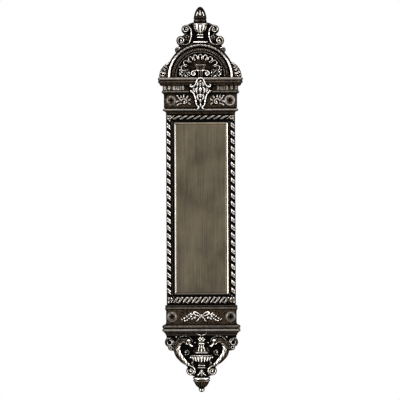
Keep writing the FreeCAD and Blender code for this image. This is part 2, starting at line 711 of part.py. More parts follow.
# Lidded urn and the drop below it
def pendant_urn():
    b = base_bottom
    knob = [(1.2, b - 0.9), (3.2, b - 2.0), (4.0, b - 4.2), (3.4, b - 6.4), (2.4, b - 7.4)]
    collar = [(6.7, b - 7.7), (6.7, b - 8.7), (2.8, b - 9.2)]
    lid = [(4.0, b - 11.4), (6.4, b - 13.8), (8.8, b - 15.6), (8.8, b - 16.3)]
    lid += [(7.6, b - 16.5), (7.6, b - 17.2), (6.0, b - 17.6)]
    stem = [(4.6, b - 26.0), (2.4, b - 28.0)]
    for level in (28.4, 30.5):
        stem += [(3.3, b - level), (3.3, b - level - 1.0), (2.4, b - level - 1.4)]
    bell = [(2.7, b - 34.0), (3.6, b - 36.8), (5.4, b - 39.2), (drop_radius, b - 40.8)]
    rings = [(drop_radius, b - 42.0), (drop_radius - 0.8, b - 42.3), (drop_radius - 0.8, b - 43.0)]
    rings += [(drop_radius - 0.2, b - 43.2), (drop_radius - 0.2, b - 44.2)]
    r = drop_ball_radius
    ball_top = tip_z + 3.9
    ball = [(r - 0.4, ball_top), (r, ball_top - 0.9), (r, ball_top - 2.0)]
    ball += [(r - 0.8, ball_top - 3.2), (r - 2.0, tip_z)]
    made = [turned(knob + collar + lid + stem + bell + rings + ball, urn_axis_depth)]
    rim, foot = b - 19.0, b - 27.0
    bowl = [(urn_bowl_radius - 0.8, rim), (urn_bowl_radius, rim - 0.4), (urn_bowl_radius, rim - 1.4)]
    bowl += [(urn_bowl_radius - 1.4, rim - 1.9), (urn_bowl_radius * 0.86, rim - 4.0)]
    bowl += [(urn_bowl_radius * 0.4, foot)]
    made.append(turned(bowl, urn_bowl_axis_depth, urn_bowl_flatten))
    lobe_rim, lobe_foot = (urn_bowl_radius * 0.93, rim - 2.6), (urn_bowl_radius * 0.55, foot + 1.2)
    axis = urn_bowl_axis_depth
    made += bowl_lobes(urn_gadroons, 130, axis, urn_bowl_flatten, lobe_rim, lobe_foot, 1.7, 1.0)
    made += bowl_lobes(3, 60, urn_axis_depth, 1.0, (3.4, b - 10.4), (8.2, b - 15.4), 0.7, 1.2)
    front = urn_axis_depth + drop_radius
    low = blank_depth - bury
    for i in (-1, 0, 1):
        made.append(leaf(i * 0.8, b - 34.2, 6.8, 2.6, -90 + i * 26, low, front - 1.6))
        made.append(leaf(i * 4.0, b - 44.0, 6.8, 3.2, -90 - i * 26, low, front + 0.3 - 1.4 * abs(i)))
    return made


def hole_places():
    return [(x, z) for z in hole_levels for x in (-hole_x, hole_x)]


# A level ring of corners round a screw's axis
def screw_ring(radius, h):
    return [at(x, h, z) for x, z in round_points(0, 0, radius, 14)]


# Countersunk hole through the frieze, for one screw
def screw_hole(x, z):
    rim = screw_head_radius + screw_seat_clearance
    taper = math.tan(math.radians(screw_head_angle / 2))
    depth = (rim - screw_hole_radius) / taper
    hole = skin([screw_ring(screw_hole_radius, -bury), screw_ring(screw_hole_radius, frieze_depth - depth),
                 screw_ring(rim + bury * taper, frieze_depth + bury)])
    hole.translate(Vector(x, 0, z))
    return hole


# Raised-head wood screw with a cross recess, seated with its head's edge level with the frieze.
# The threaded length is drawn plain and starts at the door's face.
def screw(x, z):
    neck = (screw_head_radius - screw_shank_radius) / math.tan(math.radians(screw_head_angle / 2))
    tip = frieze_depth - screw_length
    crown = frieze_depth + screw_dome
    head = [screw_ring(screw_crown_radius, crown), screw_ring(screw_head_radius, frieze_depth)]
    head += [screw_ring(screw_shank_radius, frieze_depth - neck), screw_ring(screw_shank_radius, 0)]
    thread = Part.makeCylinder(screw_thread_radius, -tip - screw_tip, at(0, 0, 0), Vector(0, 1, 0))
    point_ends = ((screw_thread_radius, tip + screw_tip), (screw_thread_radius / 20, tip))
    point = skin([screw_ring(radius, h) for radius, h in point_ends])
    body = skin(head).multiFuse([thread, point])
    half_length, half_width = driver_slot_length / 2, driver_slot_width / 2
    slots = []
    for dx, dz in ((half_length, half_width), (half_width, half_length)):
        slots.append(Part.makeBox(2 * dx, driver_slot_depth + bury, 2 * dz, at(-dx, crown + bury, -dz)))
    body = body.cut(slots[0].fuse(slots[1]))
    body.translate(Vector(x, 0, z))
    return body


def finger_plate():
    carving = [push_panel(), cornice(), base_moulding(), arch()]
    carving += ropes() + corner_leaves() + tongues() + shield() + frieze_scrolls() + garland()
    carving += crest_blank() + crest_scrolls() + shell() + shell_basket() + tympanum_leaves()
    carving += bracket_leaves() + crest_urn()
    carving += pendant_blank() + pendant_volutes() + dolphins() + pendant_urn()
    cast = frame_blank().multiFuse(carving)
    holes = [screw_hole(x, z) for x, z in hole_places()]
    return cast.cut(holes).removeSplitter()


def fixing_screws():
    return Part.makeCompound([screw(x, z) for x, z in hole_places()])


os.makedirs("parts", exist_ok=True)
for name, shape in (("finger_plate", finger_plate()), ("fixing_screws", fixing_screws())):
    shape.exportStep("parts/" + name + ".step")
    print(name, len(shape.Solids), round(shape.Volume, 1))
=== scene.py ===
import bpy
import math
import numpy as np
from mathutils import Euler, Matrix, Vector
from mathutils.geometry import delaunay_2d_cdt


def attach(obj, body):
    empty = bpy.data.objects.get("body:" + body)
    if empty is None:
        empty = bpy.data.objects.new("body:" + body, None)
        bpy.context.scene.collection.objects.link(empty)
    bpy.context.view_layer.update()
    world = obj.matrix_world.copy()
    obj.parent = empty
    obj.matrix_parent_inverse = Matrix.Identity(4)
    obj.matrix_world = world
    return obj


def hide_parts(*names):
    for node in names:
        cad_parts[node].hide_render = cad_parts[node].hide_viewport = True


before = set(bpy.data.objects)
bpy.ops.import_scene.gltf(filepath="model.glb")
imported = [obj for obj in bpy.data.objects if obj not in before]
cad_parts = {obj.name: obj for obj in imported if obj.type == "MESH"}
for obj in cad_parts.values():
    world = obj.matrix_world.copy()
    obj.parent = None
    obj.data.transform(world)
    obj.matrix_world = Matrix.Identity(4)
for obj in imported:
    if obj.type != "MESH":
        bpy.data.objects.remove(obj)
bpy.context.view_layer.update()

mm = 0.001
print("frame loaded:", sorted(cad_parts))

# Casting sizes in mm: x across, z up from the middle of the panel, heights forward of the door
casting = {
    "panelHalf": 26.3, "panelTop": 82.5, "bevel": 1.7, "panelFront": 5.3, "floor": 3.4, "frameHalf": 33.0,
    "frameTop": 90.4, "frameBottom": -92.4, "frieze": 6.6, "friezeHalf": 34.9, "baseHalf": 33.6,
    "corniceTop": 124.6, "baseBottom": -120.65, "crestTop": 192.7, "tip": -175.1, "blank": 4.0,
    "archZ": 125.8, "archRadius": 32.5, "ropeCrown": 6.0, "scrollCrown": 7.2, "filletX": 27.25,
    "holeX": 28.0, "holeZ": 103.1, "holeRadius": 2.5, "sinkRadius": 4.06, "sinkSlope": 0.869,
    "step": 0.412, "frameStep": 0.64, "panelInset": 2.0, "cornerEase": 1.6, "edgeRound": 0.5,
    "lineInset": 0.75, "lineHalf": 0.3, "lineDepth": 0.32, "gridHalf": 40.9, "gridMargin": 0.3,
}
blank, scrollCrown = casting["blank"], casting["scrollCrown"]
archZ, baseZ = casting["archZ"], casting["baseBottom"]
both, once = (1, -1), (1,)      # drawn on both sides, or only as given


# Height forms across a ridge, from its middle (0) to its edge (1)
def rounded(q):
    return np.sqrt(np.clip(1 - q * q, 0, 1))


def crowned(q):
    return np.clip(1 - q * q, 0, 1) ** 0.35


def peaked(q):
    return np.clip(1 - q, 0, 1) ** 0.75


def channelled(q):
    return rounded(q) * (1 - 0.55 * np.exp(-(q / 0.4) ** 2))


def smooth(a, b, v):
    t = np.clip((v - a) / (b - a), 0, 1)
    return t * t * (3 - 2 * t)


def moved(points, dz, dx=0):
    return [(x + dx, z + dz) for x, z in points]


# Across and up values of points in rising order
def rising(points):
    return zip(*sorted(points, key=lambda p: p[1]))


def spiral(centre, startTurn, endTurn, startRadius, endRadius, steps):
    turns = np.radians(np.linspace(startTurn, endTurn, steps + 1))
    radii = np.linspace(startRadius, endRadius, steps + 1)
    return [(centre[0] + r * math.cos(a), centre[1] + r * math.sin(a)) for r, a in zip(radii, turns)]


# A smooth run through a few chosen points
def flowing(points, steps=8):
    p = np.array([points[0]] + list(points) + [points[-1]], float)
    made = []
    for a, b, c, d in zip(p, p[1:], p[2:], p[3:]):
        for t in np.arange(steps) / steps:
            made.append(0.5 * (2 * b + (c - a) * t + (2 * a - 5 * b + 4 * c - d) * t ** 2
                               + (3 * b - a - 3 * c + d) * t ** 3))
    return [tuple(q) for q in made] + [tuple(points[-1])]


# Share of the run, distance and signed distance to a path for every point of a patch
def along(path, x, z):
    path = np.array(path, float)
    legs = np.diff(path, axis=0)
    lengths = np.maximum(np.hypot(legs[:, 0], legs[:, 1]), 1e-6)
    starts = np.concatenate([[0], np.cumsum(lengths)])
    best = np.full(x.shape, 1e9)
    share, off = np.zeros(x.shape), np.zeros(x.shape)
    for (ax, az), (lx, lz), length, start in zip(path, legs, lengths, starts):
        ux, uz = lx / length, lz / length
        run = np.clip((x - ax) * ux + (z - az) * uz, 0, length)
        dx, dz = x - ax - run * ux, z - az - run * uz
        d = np.hypot(dx, dz)
        near = d < best
        best = np.where(near, d, best)
        share = np.where(near, (start + run) / starts[-1], share)
        off = np.where(near, np.where(ux * dz - uz * dx < 0, -d, d), off)
    return share, best, off


# Distance inside a closed outline, below 0 outside it
def within(path, x, z):
    closed = list(path) + [path[0]]
    d = along(closed, x, z)[1]
    odd = np.zeros(x.shape, bool)
    for (ax, az), (bx, bz) in zip(closed, closed[1:]):
        if az != bz:
            cross = (az > z) != (bz > z)
            odd ^= cross & (x < (bx - ax) * (z - az) / (bz - az) + ax)
    return np.where(odd, d, -d)


# Values passed through in even steps, at each share of a run
def passing(values, share):
    values = np.atleast_1d(values)
    return np.interp(share, np.linspace(0, 1, len(values)), values)


# The carving as heights over rows and columns of points, with each point's share of rubbing, which on some
# parts paints a lit or shaded side or a shadow, and its lip lines of rubbing, oxide, painted highlight and
# painted shade
class Relief:
    def __init__(self, columns, rows):
        self.xs, self.zs = columns, rows
        self.height = np.zeros((len(rows), len(columns)))
        self.rubAndLight = np.ones(self.height.shape)
        self.lipWearAndLight = np.zeros(self.height.shape)

    def patch(self, xLow, xHigh, zLow, zHigh, side=1):
        left, right = sorted((side * xLow, side * xHigh))
        cols = slice(np.searchsorted(self.xs, left), np.searchsorted(self.xs, right, "right"))
        rows = slice(np.searchsorted(self.zs, zLow), np.searchsorted(self.zs, zHigh, "right"))
        x, z = np.meshgrid(side * self.xs[cols], self.zs[rows])
        return (rows, cols), x, z

    def around(self, path, margin, side):
        p = np.array(path)
        (xLow, zLow), (xHigh, zHigh) = p.min(0) - margin, p.max(0) + margin
        return self.patch(xLow, xHigh, zLow, zHigh, side)

    # What stands highest shows, with its own share of rubbing, on some parts a painted lit or shaded side
    def lift(self, place, form, tone=1.0):
        higher = form > self.height[place]
        self.rubAndLight[place] = np.where(higher, tone, self.rubAndLight[place])
        self.lipWearAndLight[place] = np.where(higher, 0, self.lipWearAndLight[place])
        self.height[place] = np.where(higher, form, self.height[place])

    # A ridge along a path, passing through its widths, crowns and tones
    def stroke(self, path, width, crown, tone=1.0, low=blank, sides=both, form=crowned):
        for side in sides:
            place, x, z = self.around(path, np.max(width), side)
            t, d, off = along(path, x, z)
            q = d / (passing(width, t) / 2)
            self.lift(place, np.where(q < 1, low + (passing(crown, t) - low) * form(q), 0), passing(tone, t))

    def bar(self, half, level, width, crown, tone, low=blank):
        self.stroke([(-half, level), (half, level)], width, crown, tone, low, once)

    # Lobed leaves with a midrib and veins, each flowing from root to tip
    def leaves(self, paths, width, crown, tone=1.0, low=blank, sides=both, lobes=3, start=(0, 0)):
        for path in (flowing(moved(points, start[1], start[0])) for points in paths):
            for side in sides:
                place, x, z = self.around(path, width, side)
                t, d, off = along(path, x, z)
                outline = np.sin(np.pi * np.clip(t * 0.94 + 0.06, 0, 1) ** 0.8) ** 0.6
                lobed = 0.74 + 0.26 * np.abs(np.sin(np.pi * lobes * t))
                q = d / np.maximum(width / 2 * outline * lobed, 1e-3)
                veins = 0.86 + 0.14 * np.cos(2 * np.pi * (lobes * t - 0.7 * q))
                rib = 1 - 0.3 * np.exp(-(q / 0.2) ** 2)
                body = rounded(q) ** 0.8 * (0.62 + 0.38 * np.sin(np.pi * t)) * veins * rib
                self.lift(place, np.where(q < 1, low + (crown - low) * body, 0), tone)

    def dome(self, spot, size, crown, tone=1.0, low=blank, sides=both):
        (x0, z0), (rx, rz) = spot, np.broadcast_to(size, 2)
        for side in sides:
            place, x, z = self.patch(x0 - rx, x0 + rx, z0 - rz, z0 + rz, side)
            q = np.hypot((x - x0) / rx, (z - z0) / rz)
            self.lift(place, np.where(q < 1, low + (crown - low) * rounded(q), 0), tone)

    # A body turned about an upright axis, from (radius, z) points above a level, with a pattern round it
    def turned(self, profile, level, axis, tone=1.0, flatten=1.0, pattern=None):
        radii, levels = rising(moved(profile, level))
        reach = max(radii)
        place, x, z = self.patch(-reach, reach, levels[0], levels[-1])
        r = np.interp(z, levels, radii)
        q = np.clip(x / np.maximum(r, 1e-3), -1, 1)
        form = axis + flatten * r * rounded(q)
        if pattern:
            lobes = pattern(np.arcsin(q), z)
            form = form + lobes * np.cos(np.arcsin(q))
            edge = 1 - 0.6 * smooth(0.55, 0.85, np.abs(q))
            tone = np.where(lobes > 0.7 * lobes.max(), tone * edge, -0.7)
        self.lift(place, np.where(np.abs(x) < r, form, 0), tone)


# Moulding profiles as (z, projection from the frieze), rising
def quarter(z0, p0, z1, p1, slowStart, steps=5):
    turns = np.radians(np.linspace(0, 90, steps + 1))
    slow, fast = 1 - np.cos(turns), np.sin(turns)
    zShare, pShare = (fast, slow) if slowStart else (slow, fast)
    return [(z0 + (z1 - z0) * a, p0 + (p1 - p0) * b) for a, b in zip(zShare, pShare)]


def roll(z0, z1, p, rise, steps=6):
    turns = np.radians(np.linspace(0, 180, steps + 1))
    mid, half = (z0 + z1) / 2, (z1 - z0) / 2
    return [(mid - half * math.cos(a), p + rise * math.sin(a)) for a in turns]


nick = 0.06     # depth of a step along z
moulding = {
    "cornice": quarter(90.4 + nick, -1.9, 92.9, 0, True) + roll(92.9 + nick, 95.1, 0, 1.1)
    + [(95.1 + nick, -0.5), (96.1 - nick, -0.5), (96.1, 0), (107.3, 0)]
    + quarter(107.3 + nick, 0, 110.1 - nick, 1.4, True) + roll(110.1, 112.1, 1.4, 0.6)
    + [(112.1 + nick, 1.1), (117.1 - nick, 1.1)] + quarter(117.1, 2.2, 119.3, 4.2, False)
    + [(119.3 + nick, 4.0), (119.6, 4.0)] + roll(119.6 + nick, 121.5, 4.3, 1.15)
    + [(121.5 + nick, 4.1), (121.9 - nick, 4.1)] + roll(121.9, 124.6, 4.5, 1.0),
    "base": [(-120.65, 0.5), (-119.85, 0.5)] + quarter(-119.85 + nick, 0.7, -118.5, 1.5, True)
    + [(-118.5 + nick, 1.9), (-118.2, 1.9)] + quarter(-118.2 + nick, 1.9, -117.1, 3.0, True)
    + roll(-117.1 + nick, -114.65, 3.0, 0.6) + [(-114.65 + nick, 2.4), (-113.6 - nick, 2.4)]
    + roll(-113.6, -111.4, 2.9, 0.7) + [(-111.4 + nick, 2.0), (-110.9, 1.8)]
    + quarter(-110.9 + nick, 1.5, -107.85, 0, False) + [(-107.8, 0), (-98.4, 0)]
    + quarter(-98.4 + nick, 0, -96.1, 1.0, True) + [(-96.1 + nick, 0.4), (-95.7, 0.4)]
    + roll(-95.7 + nick, -94.3, 0.5, 0.5) + [(-94.3 + nick, 0.6), (-92.4 - nick, 0.8)],
}


# Levels of the mouldings' lips, with their spread and share of rubbing and painted highlight, or of oxide
# and painted shade under the projections when below 0
lips = [(123.2, 0.8, 0.2), (121.5, 0.5, -0.9), (120.4, 0.6, 0.05), (118.4, 0.5, -0.7), (111.2, 0.5, 0.08),
        (110.0, 0.4, -0.6), (95.8, 0.7, -1.2), (94.1, 0.6, 0.22), (91.8, 0.5, -0.5), (-93.3, 0.5, -0.8),
        (-95.0, 0.4, 0.12), (-96.2, 0.35, -0.6), (-110.7, 0.4, -0.6), (-113.8, 0.5, -0.9),
        (-115.7, 0.5, 0.34), (-117.4, 0.4, -0.7), (-119.7, 0.7, -0.8)]


crest = {
    "upper": (13.6, 170.9), "upperRadius": 4.3, "lower": (18.2, 160.2), "lowerRadius": 4.6,
    "third": (21.6, 151.3), "thirdRadius": 2.7, "bracketX": 24.8, "bracketRadius": 14.6, "bracketFoot": 39.4,
    "shoulder": 177.9, "finial": 6.3, "bowlTop": 176.3, "bowlRadius": 8.2, "axis": 1.6,
    "shellZ": 131.6, "petals": 9, "petalStep": 20.5, "shellHalf": 19.4, "shellHeight": 15.8,
    "edge": [(5.6, 177.9), (9.4, 176.8), (12.2, 174.9), (14.0, 167.2), (17.2, 164.2), (20.4, 156.0),
             (21.6, 151.3)],
    "neck": [(5.8, 4.4), (6.3, 4.1), (6.3, 3.5), (5.7, 3.1), (5.7, 2.0), (6.3, 1.6), (6.3, 0.5), (4.9, 0),
             (4.7, -1.4)],
}
pendant = {
    "side": (30.3, -127.65), "sideRadius": 4.7, "curl": (29.3, -132.85), "curlRadius": 2.7,
    "small": (14.1, -136.95), "low": (10.3, -155.05), "lowRadius": 4.3, "axis": 1.8,
    "bowlRadius": 11.9, "bowlFront": 10.9, "gadroons": 9,
    "edge": [(33.6, baseZ), (33.4, -122.6), (30.5, -131.0), (27.0, -134.4), (25.6, -139.2), (23.2, -143.2),
             (19.2, -147.0), (14.2, -150.3), (9.0, -158.0), (8.2, -160.2)],
    # The drop below the base moulding: a bell, two rings, a cone and a ball
    "drop": [(2.7, -33.4), (3.0, -35.4), (4.0, -37.6), (5.8, -39.6), (8.2, -40.8),
             (8.2, -41.9), (7.3, -42.2), (7.3, -42.9), (8.0, -43.2), (8.0, -44.1),
             (7.3, -44.5), (6.6, -46.4), (5.0, -48.8), (2.7, -50.6),
             (2.3, -50.9), (2.9, -51.7), (2.9, -52.7), (2.1, -53.9)],
}


def eggProfile():
    t = np.linspace(0.28, 0.995, 20)
    height = casting["crestTop"] - crest["shoulder"]
    return list(zip(crest["finial"] * (1 - t ** 2.2) ** 0.6, t * height))


def dropProfile():
    return moved(pendant["drop"], baseZ) + [(0.9, casting["tip"])]


# Half width of the casting at each level
def discEdge(z, spot, radius):
    x0, z0 = spot
    return np.where(np.abs(z - z0) < radius, x0 + np.sqrt(np.clip(radius ** 2 - (z - z0) ** 2, 0, None)), -1)


def runEdge(z, points, level=0):
    across, up = rising(moved(points, level))
    return np.where((z >= up[0]) & (z <= up[-1]), np.interp(z, up, across), -1)


def halfWidths(z):
    c = casting
    framed = (z >= c["frameBottom"] - nick) & (z <= c["frameTop"] + nick)
    made = [np.where(framed, c["frameHalf"], -1.0)]
    for name, half in (("cornice", c["friezeHalf"]), ("base", c["baseHalf"])):
        made.append(runEdge(z, [(half + p, level) for level, p in moulding[name]]))
    arch = np.where(z < archZ, c["archRadius"], discEdge(z, (0, archZ), c["archRadius"]))
    bracket = discEdge(z, (crest["bracketX"], archZ), crest["bracketRadius"])
    scallop = 0.45 * np.abs(np.sin((z - archZ) * 1.05)) - 0.35
    top = [arch, np.where(z < archZ, crest["bracketFoot"], bracket) + scallop, runEdge(z, crest["edge"])]
    top += [discEdge(z, crest[name], crest[name + "Radius"]) for name in ("upper", "lower", "third")]
    top.append(runEdge(z, eggProfile() + crest["neck"], crest["shoulder"]))
    low = [runEdge(z, pendant["edge"]), runEdge(z, dropProfile())]
    low += [discEdge(z, pendant[name], pendant[name + "Radius"]) for name in ("side", "curl", "low")]
    top, low, made = (np.max(group, axis=0) for group in (top, low, made))
    return np.where(z > c["corniceTop"], top, np.where(z < baseZ, low, made))


def gridLines(levels, step):
    lines = [levels[0]]
    for a, b in zip(levels, levels[1:]):
        if b - a > 1e-6:
            count = max(1, math.ceil((b - a) / step((a + b) / 2) - 0.01))
            lines += list(np.linspace(a, b, count + 1)[1:])
    return np.array(lines)


def rowStep(z):
    return casting["frameStep"] if -80 < z < 80 else casting["step"]


def makeGrid():
    c = casting
    inner, outer = c["panelHalf"] - c["bevel"], c["panelHalf"]
    right = [0, inner - c["panelInset"], inner, outer, c["frameHalf"] - nick, c["frameHalf"] + nick]
    right.append(c["gridHalf"])
    columns = gridLines(right, lambda x: c["step"])
    top, bevelTop = c["panelTop"], c["panelTop"] - c["bevel"]
    levels = [c["tip"] - c["gridMargin"], c["tip"], c["crestTop"], c["crestTop"] + c["gridMargin"],
              baseZ - nick, c["corniceTop"] + nick, c["frameTop"], c["frameBottom"]]
    levels += [side * v for side in both for v in (bevelTop - c["panelInset"], bevelTop, top)]
    levels += [z for z, p in moulding["cornice"] + moulding["base"]]
    rows = gridLines(sorted(levels), rowStep)
    return np.concatenate([-columns[:0:-1], columns]), rows


def baseLevels(relief):
    c = casting
    z = relief.zs
    level = np.full(len(z), blank)
    level[(z > c["frameBottom"]) & (z < c["frameTop"])] = c["floor"]
    for rows in moulding.values():
        inside = (z >= rows[0][0]) & (z <= rows[-1][0])
        level[inside] = c["frieze"] + np.interp(z[inside], *zip(*rows))
        relief.rubAndLight[inside] = 0.06
    for lip, spread, share in lips:
        relief.lipWearAndLight += (share * np.exp(-((z - lip) / spread) ** 2))[:, None]
    relief.height += level[:, None]


# Distance in from the panel's edge, round at its corners
def panelInset(x, z):
    c = casting
    across, up = c["panelHalf"] - np.abs(x), c["panelTop"] - np.abs(z)
    ease = c["cornerEase"]
    corner = ease - np.hypot(ease - np.minimum(across, ease), ease - np.minimum(up, ease))
    return np.where((across < ease) & (up < ease), corner, np.minimum(across, up))


# The fine line cut inside the panel's bevel
def incised(inset):
    return np.exp(-((inset - casting["bevel"] - casting["lineInset"]) / casting["lineHalf"]) ** 2)


def carvePanel(relief):
    c = casting
    place, x, z = relief.patch(-c["panelHalf"], c["panelHalf"], -c["panelTop"], c["panelTop"])
    inset = panelInset(x, z)
    edge = rounded(1 - np.clip(inset / c["bevel"], 0, 1))
    line = c["lineDepth"] * incised(inset)
    relief.lift(place, c["floor"] + (c["panelFront"] - c["floor"]) * edge - line)
    fillet = [(c["filletX"], c["panelTop"]), (c["filletX"], -c["panelTop"])]
    relief.stroke(fillet, 0.9, c["floor"] + 0.7, low=c["floor"])


# Rope tones: leftTone above rightTone paints the left side rope lit and the right one shaded, and the top
# rope's low tone is painted shadow under the cornice
ropes = {
    "side": {"x": 30.75, "half": 2.2, "pitch": 7.5, "lean": -0.24, "top": 84.6, "low": -83.9, "cut": 0.8,
             "leftTone": 0.95, "rightTone": 0.75},
    "top": {"z": 87.0, "half": 2.15, "pitch": 6.4, "lean": 0.52, "tone": 0.4, "leaf": 3.4},
    "low": {"z": -87.4, "half": 3.3, "pitch": 4.4, "lean": 0.47, "tone": 0.6, "leaf": 4.6},
    "run": 26.4,
}


# Strands of a rope: u along its run and v across it, v from -1 to 1
def carveRope(relief, r, place, u, v, tone, cut=0.0):
    low, crown = casting["floor"], casting["ropeCrown"]
    phase = (u / r["pitch"] - r["lean"] * v) % 1
    strand = smooth(0.35, 0.9, np.abs(np.sin(np.pi * phase)))
    groove = cut * np.exp(-((phase - 0.46) / 0.07) ** 2) * smooth(0.95, 0.6, np.abs(v - 0.2))
    form = low + (crown - low) * crowned(v) * (0.1 + 0.9 * strand) - 0.7 * groove
    relief.lift(place, np.where(np.abs(v) < 1, form, 0), np.where(strand > 0.3, tone - 1.4 * groove, -1.0))


def carveRopes(relief):
    low, crown, run = casting["floor"], casting["ropeCrown"], ropes["run"]
    r = ropes["side"]
    for x0, tone in ((-r["x"], r["leftTone"]), (r["x"], r["rightTone"])):
        place, x, z = relief.patch(x0 - r["half"], x0 + r["half"], r["low"], r["top"])
        carveRope(relief, r, place, z, (x - x0) / r["half"], tone, r["cut"])
    for r in (ropes["top"], ropes["low"]):
        z0, half = r["z"], r["half"]
        place, x, z = relief.patch(-run, run, z0 - half, z0 + half)
        carveRope(relief, r, place, x, (z - z0) / half, r["tone"])
        for tilt in (-1, 1):
            root = (run - 0.6, z0 - 0.35 * tilt * half)
            tip = (casting["frameHalf"] - 0.5, z0 + 0.75 * tilt * half)
            mid = ((root[0] + tip[0]) / 2, (root[1] + tip[1]) / 2 + 0.2 * tilt)
            relief.leaves([[root, mid, tip]], r["leaf"], crown, low=low)
        relief.dome((run + 1.2, z0), 1.1, crown, low=low)
    r = ropes["low"]
    for i in range(-6, 6, 2):       # the low rope's strands close in pairs
        for ends in ((0.8, 0.4), (-0.4, -0.8)):
            path = [(r["pitch"] * (i + k + 0.5 + r["lean"] * v), r["z"] + r["half"] * v)
                    for k, v in enumerate(ends)]
            relief.stroke(path, 1.2, crown - 0.2, r["tone"], low, once)


# The tongues show rubbing, and leftTone above rightTone paints the left ones lit and the right ones shaded
tongueBand = {"low": 112.5, "high": 116.8, "first": 34.0, "pitch": 4.35, "count": 5, "half": 1.15,
              "rise": 1.3, "foot": 1.1, "leftTone": 0.55, "rightTone": 0.25}


def carveTongues(relief):
    t = tongueBand
    foot = casting["frieze"] + t["foot"]
    for side, tone in ((1, t["rightTone"]), (-1, t["leftTone"])):
        for i in range(t["count"]):
            x0 = t["first"] - i * t["pitch"]
            x1 = x0 + t["pitch"] / 2
            tongue = [(x0, t["high"]), (x0, t["low"] + t["half"])]
            relief.stroke(tongue, 2 * t["half"], foot + t["rise"], tone, foot, (side,), channelled)
            if i:
                dart = [(x1, t["high"]), (x1, t["low"] + 0.6)]
                relief.stroke(dart, 0.9, foot + 0.8, tone, foot, (side,), peaked)


# Points of the cartouche as x and z from its top
shield = {
    "foot": 94.1, "height": 30.6, "front": 8.6, "lean": 0.1299, "rim": 0.9, "rimWidth": 1.1,
    "edge": [(0, 0), (3.0, -0.7), (4.6, -4.6), (6.6, -7.4), (9.0, -8.0), (10.2, -6.9), (10.3, -9.4),
             (8.7, -11.2), (10.2, -13.2), (9.6, -14.6), (7.4, -15.2), (5.5, -20.4), (4.7, -25.8),
             (2.4, -28.4), (3.9, -30.6)],
    "rims": [[(0, -0.8), (2.6, -1.6), (4.0, -5.0), (6.2, -8.3), (8.8, -8.9), (9.7, -7.6), (8.8, -6.9)],
             [(8.9, -13.6), (9.3, -12.6), (7.6, -14.2), (5.9, -17.0), (4.8, -20.4), (4.0, -25.6),
              (1.9, -28.4), (3.2, -30.2)]],
    "husks": [(-3.0, -8.6, 2.6), (-9.8, -14.6, 2.8), (-15.6, -19.6, 2.4), (-20.6, -24.0, 2.0),
              (-24.8, -28.2, 1.7)],
    "leaves": [[(1.2, -4.0), (2.6, -6.4), (2.9, -8.8)], [(2.7, -9.6), (3.9, -12.0), (3.4, -15.4)],
               [(5.8, -10.2), (6.6, -12.0), (5.2, -14.6)], [(2.4, -16.2), (3.0, -18.6), (1.9, -21.6)]],
}


def carveShield(relief):
    s = shield
    top = s["foot"] + s["height"]
    right = flowing(moved(s["edge"], top), 5)
    place, x, z = relief.patch(-11, 11, s["foot"] - 0.5, top + 0.5)
    lean = s["front"] + (z - s["foot"]) * s["lean"]
    inside = within(right + [(-x0, z0) for x0, z0 in reversed(right)], x, z)
    dished = 0.5 * smooth(0.8, 2.4, inside)
    relief.lift(place, np.where(inside > 0, lean - dished - 0.5 + 0.5 * smooth(0, 0.5, inside), 0), -0.9)
    rims, drop = Relief(relief.xs, relief.zs), Relief(relief.xs, relief.zs)
    for path in s["rims"]:
        rims.stroke(flowing(moved(path, top)), s["rimWidth"], 0.3 + s["rim"], low=0.3)
    for high, foot, width in s["husks"]:
        drop.leaves([[(0, high), (0, foot)]], width, 1.4, low=0.05, sides=once, lobes=2, start=(0, top))
    drop.leaves(s["leaves"], 1.9, 1.2, low=0.05, start=(0, top))
    for flat, tone in ((rims, 1.6), (drop, 1.2)):
        form = flat.height[place]
        relief.lift(place, np.where(form > 0, lean - 0.5 + form, 0), tone)


friezeCarving = {
    "rise": 1.35, "eye": (15.4, 101.6), "bud": (22.0, 107.4), "scrollTone": 0.68,
    "leaves": [[(-2.4, 1.8), (-2.6, 4.2), (-4.2, 6.2)], [(-0.4, 3.0), (0.6, 5.2), (0.2, 7.2)],
               [(2.0, 2.6), (3.2, 5.0), (3.0, 6.8)], [(-3.2, -0.4), (-4.6, -1.4), (-6.0, -3.0)],
               [(-3.0, 1.0), (-5.0, 1.8), (-6.2, 3.4)], [(2.8, -1.4), (5.2, -2.0), (7.0, -3.6)],
               [(4.0, 1.4), (6.4, 0.6), (8.0, -0.6)]],
    "garlandZ": -103.1, "garlandTone": 1.3,
    "loop": [(0.6, 1.4), (3.2, 3.6), (6.2, 4.6), (7.4, 3.4), (5.2, 1.6), (1.6, 0.6)],
    "tail": [(0.5, 0), (2.6, -1.6), (3.4, -3.4), (5.0, -4.4)],
    "stems": [([(7.6, 2.6), (11.0, 2.4), (15.2, -0.4), (19.2, -3.4)], 6),
              ([(8.0, -2.0), (11.4, -1.8), (14.2, -3.2), (16.6, -4.2)], 4)],
}


def carveFriezeScrolls(relief):
    f = friezeCarving
    low, crown, tone = casting["frieze"] - 0.1, casting["frieze"] + f["rise"], f["scrollTone"]
    ex, ez = f["eye"]
    stem = spiral(f["eye"], 300, 20, 1.3, 3.2, 24)
    stem += flowing([(ex + 3.4, ez + 1.6), (ex + 5.2, ez + 3.8), (22.0, 107.3)])
    relief.stroke(stem, (1.0, 1.4, 1.5, 1.1), crown, tone, low)
    relief.dome(f["eye"], 1.0, crown, tone, low)
    relief.dome(f["bud"], (1.2, 0.9), crown + 0.2, tone, low)
    relief.leaves(f["leaves"], 2.1, crown, tone, low, start=f["eye"])


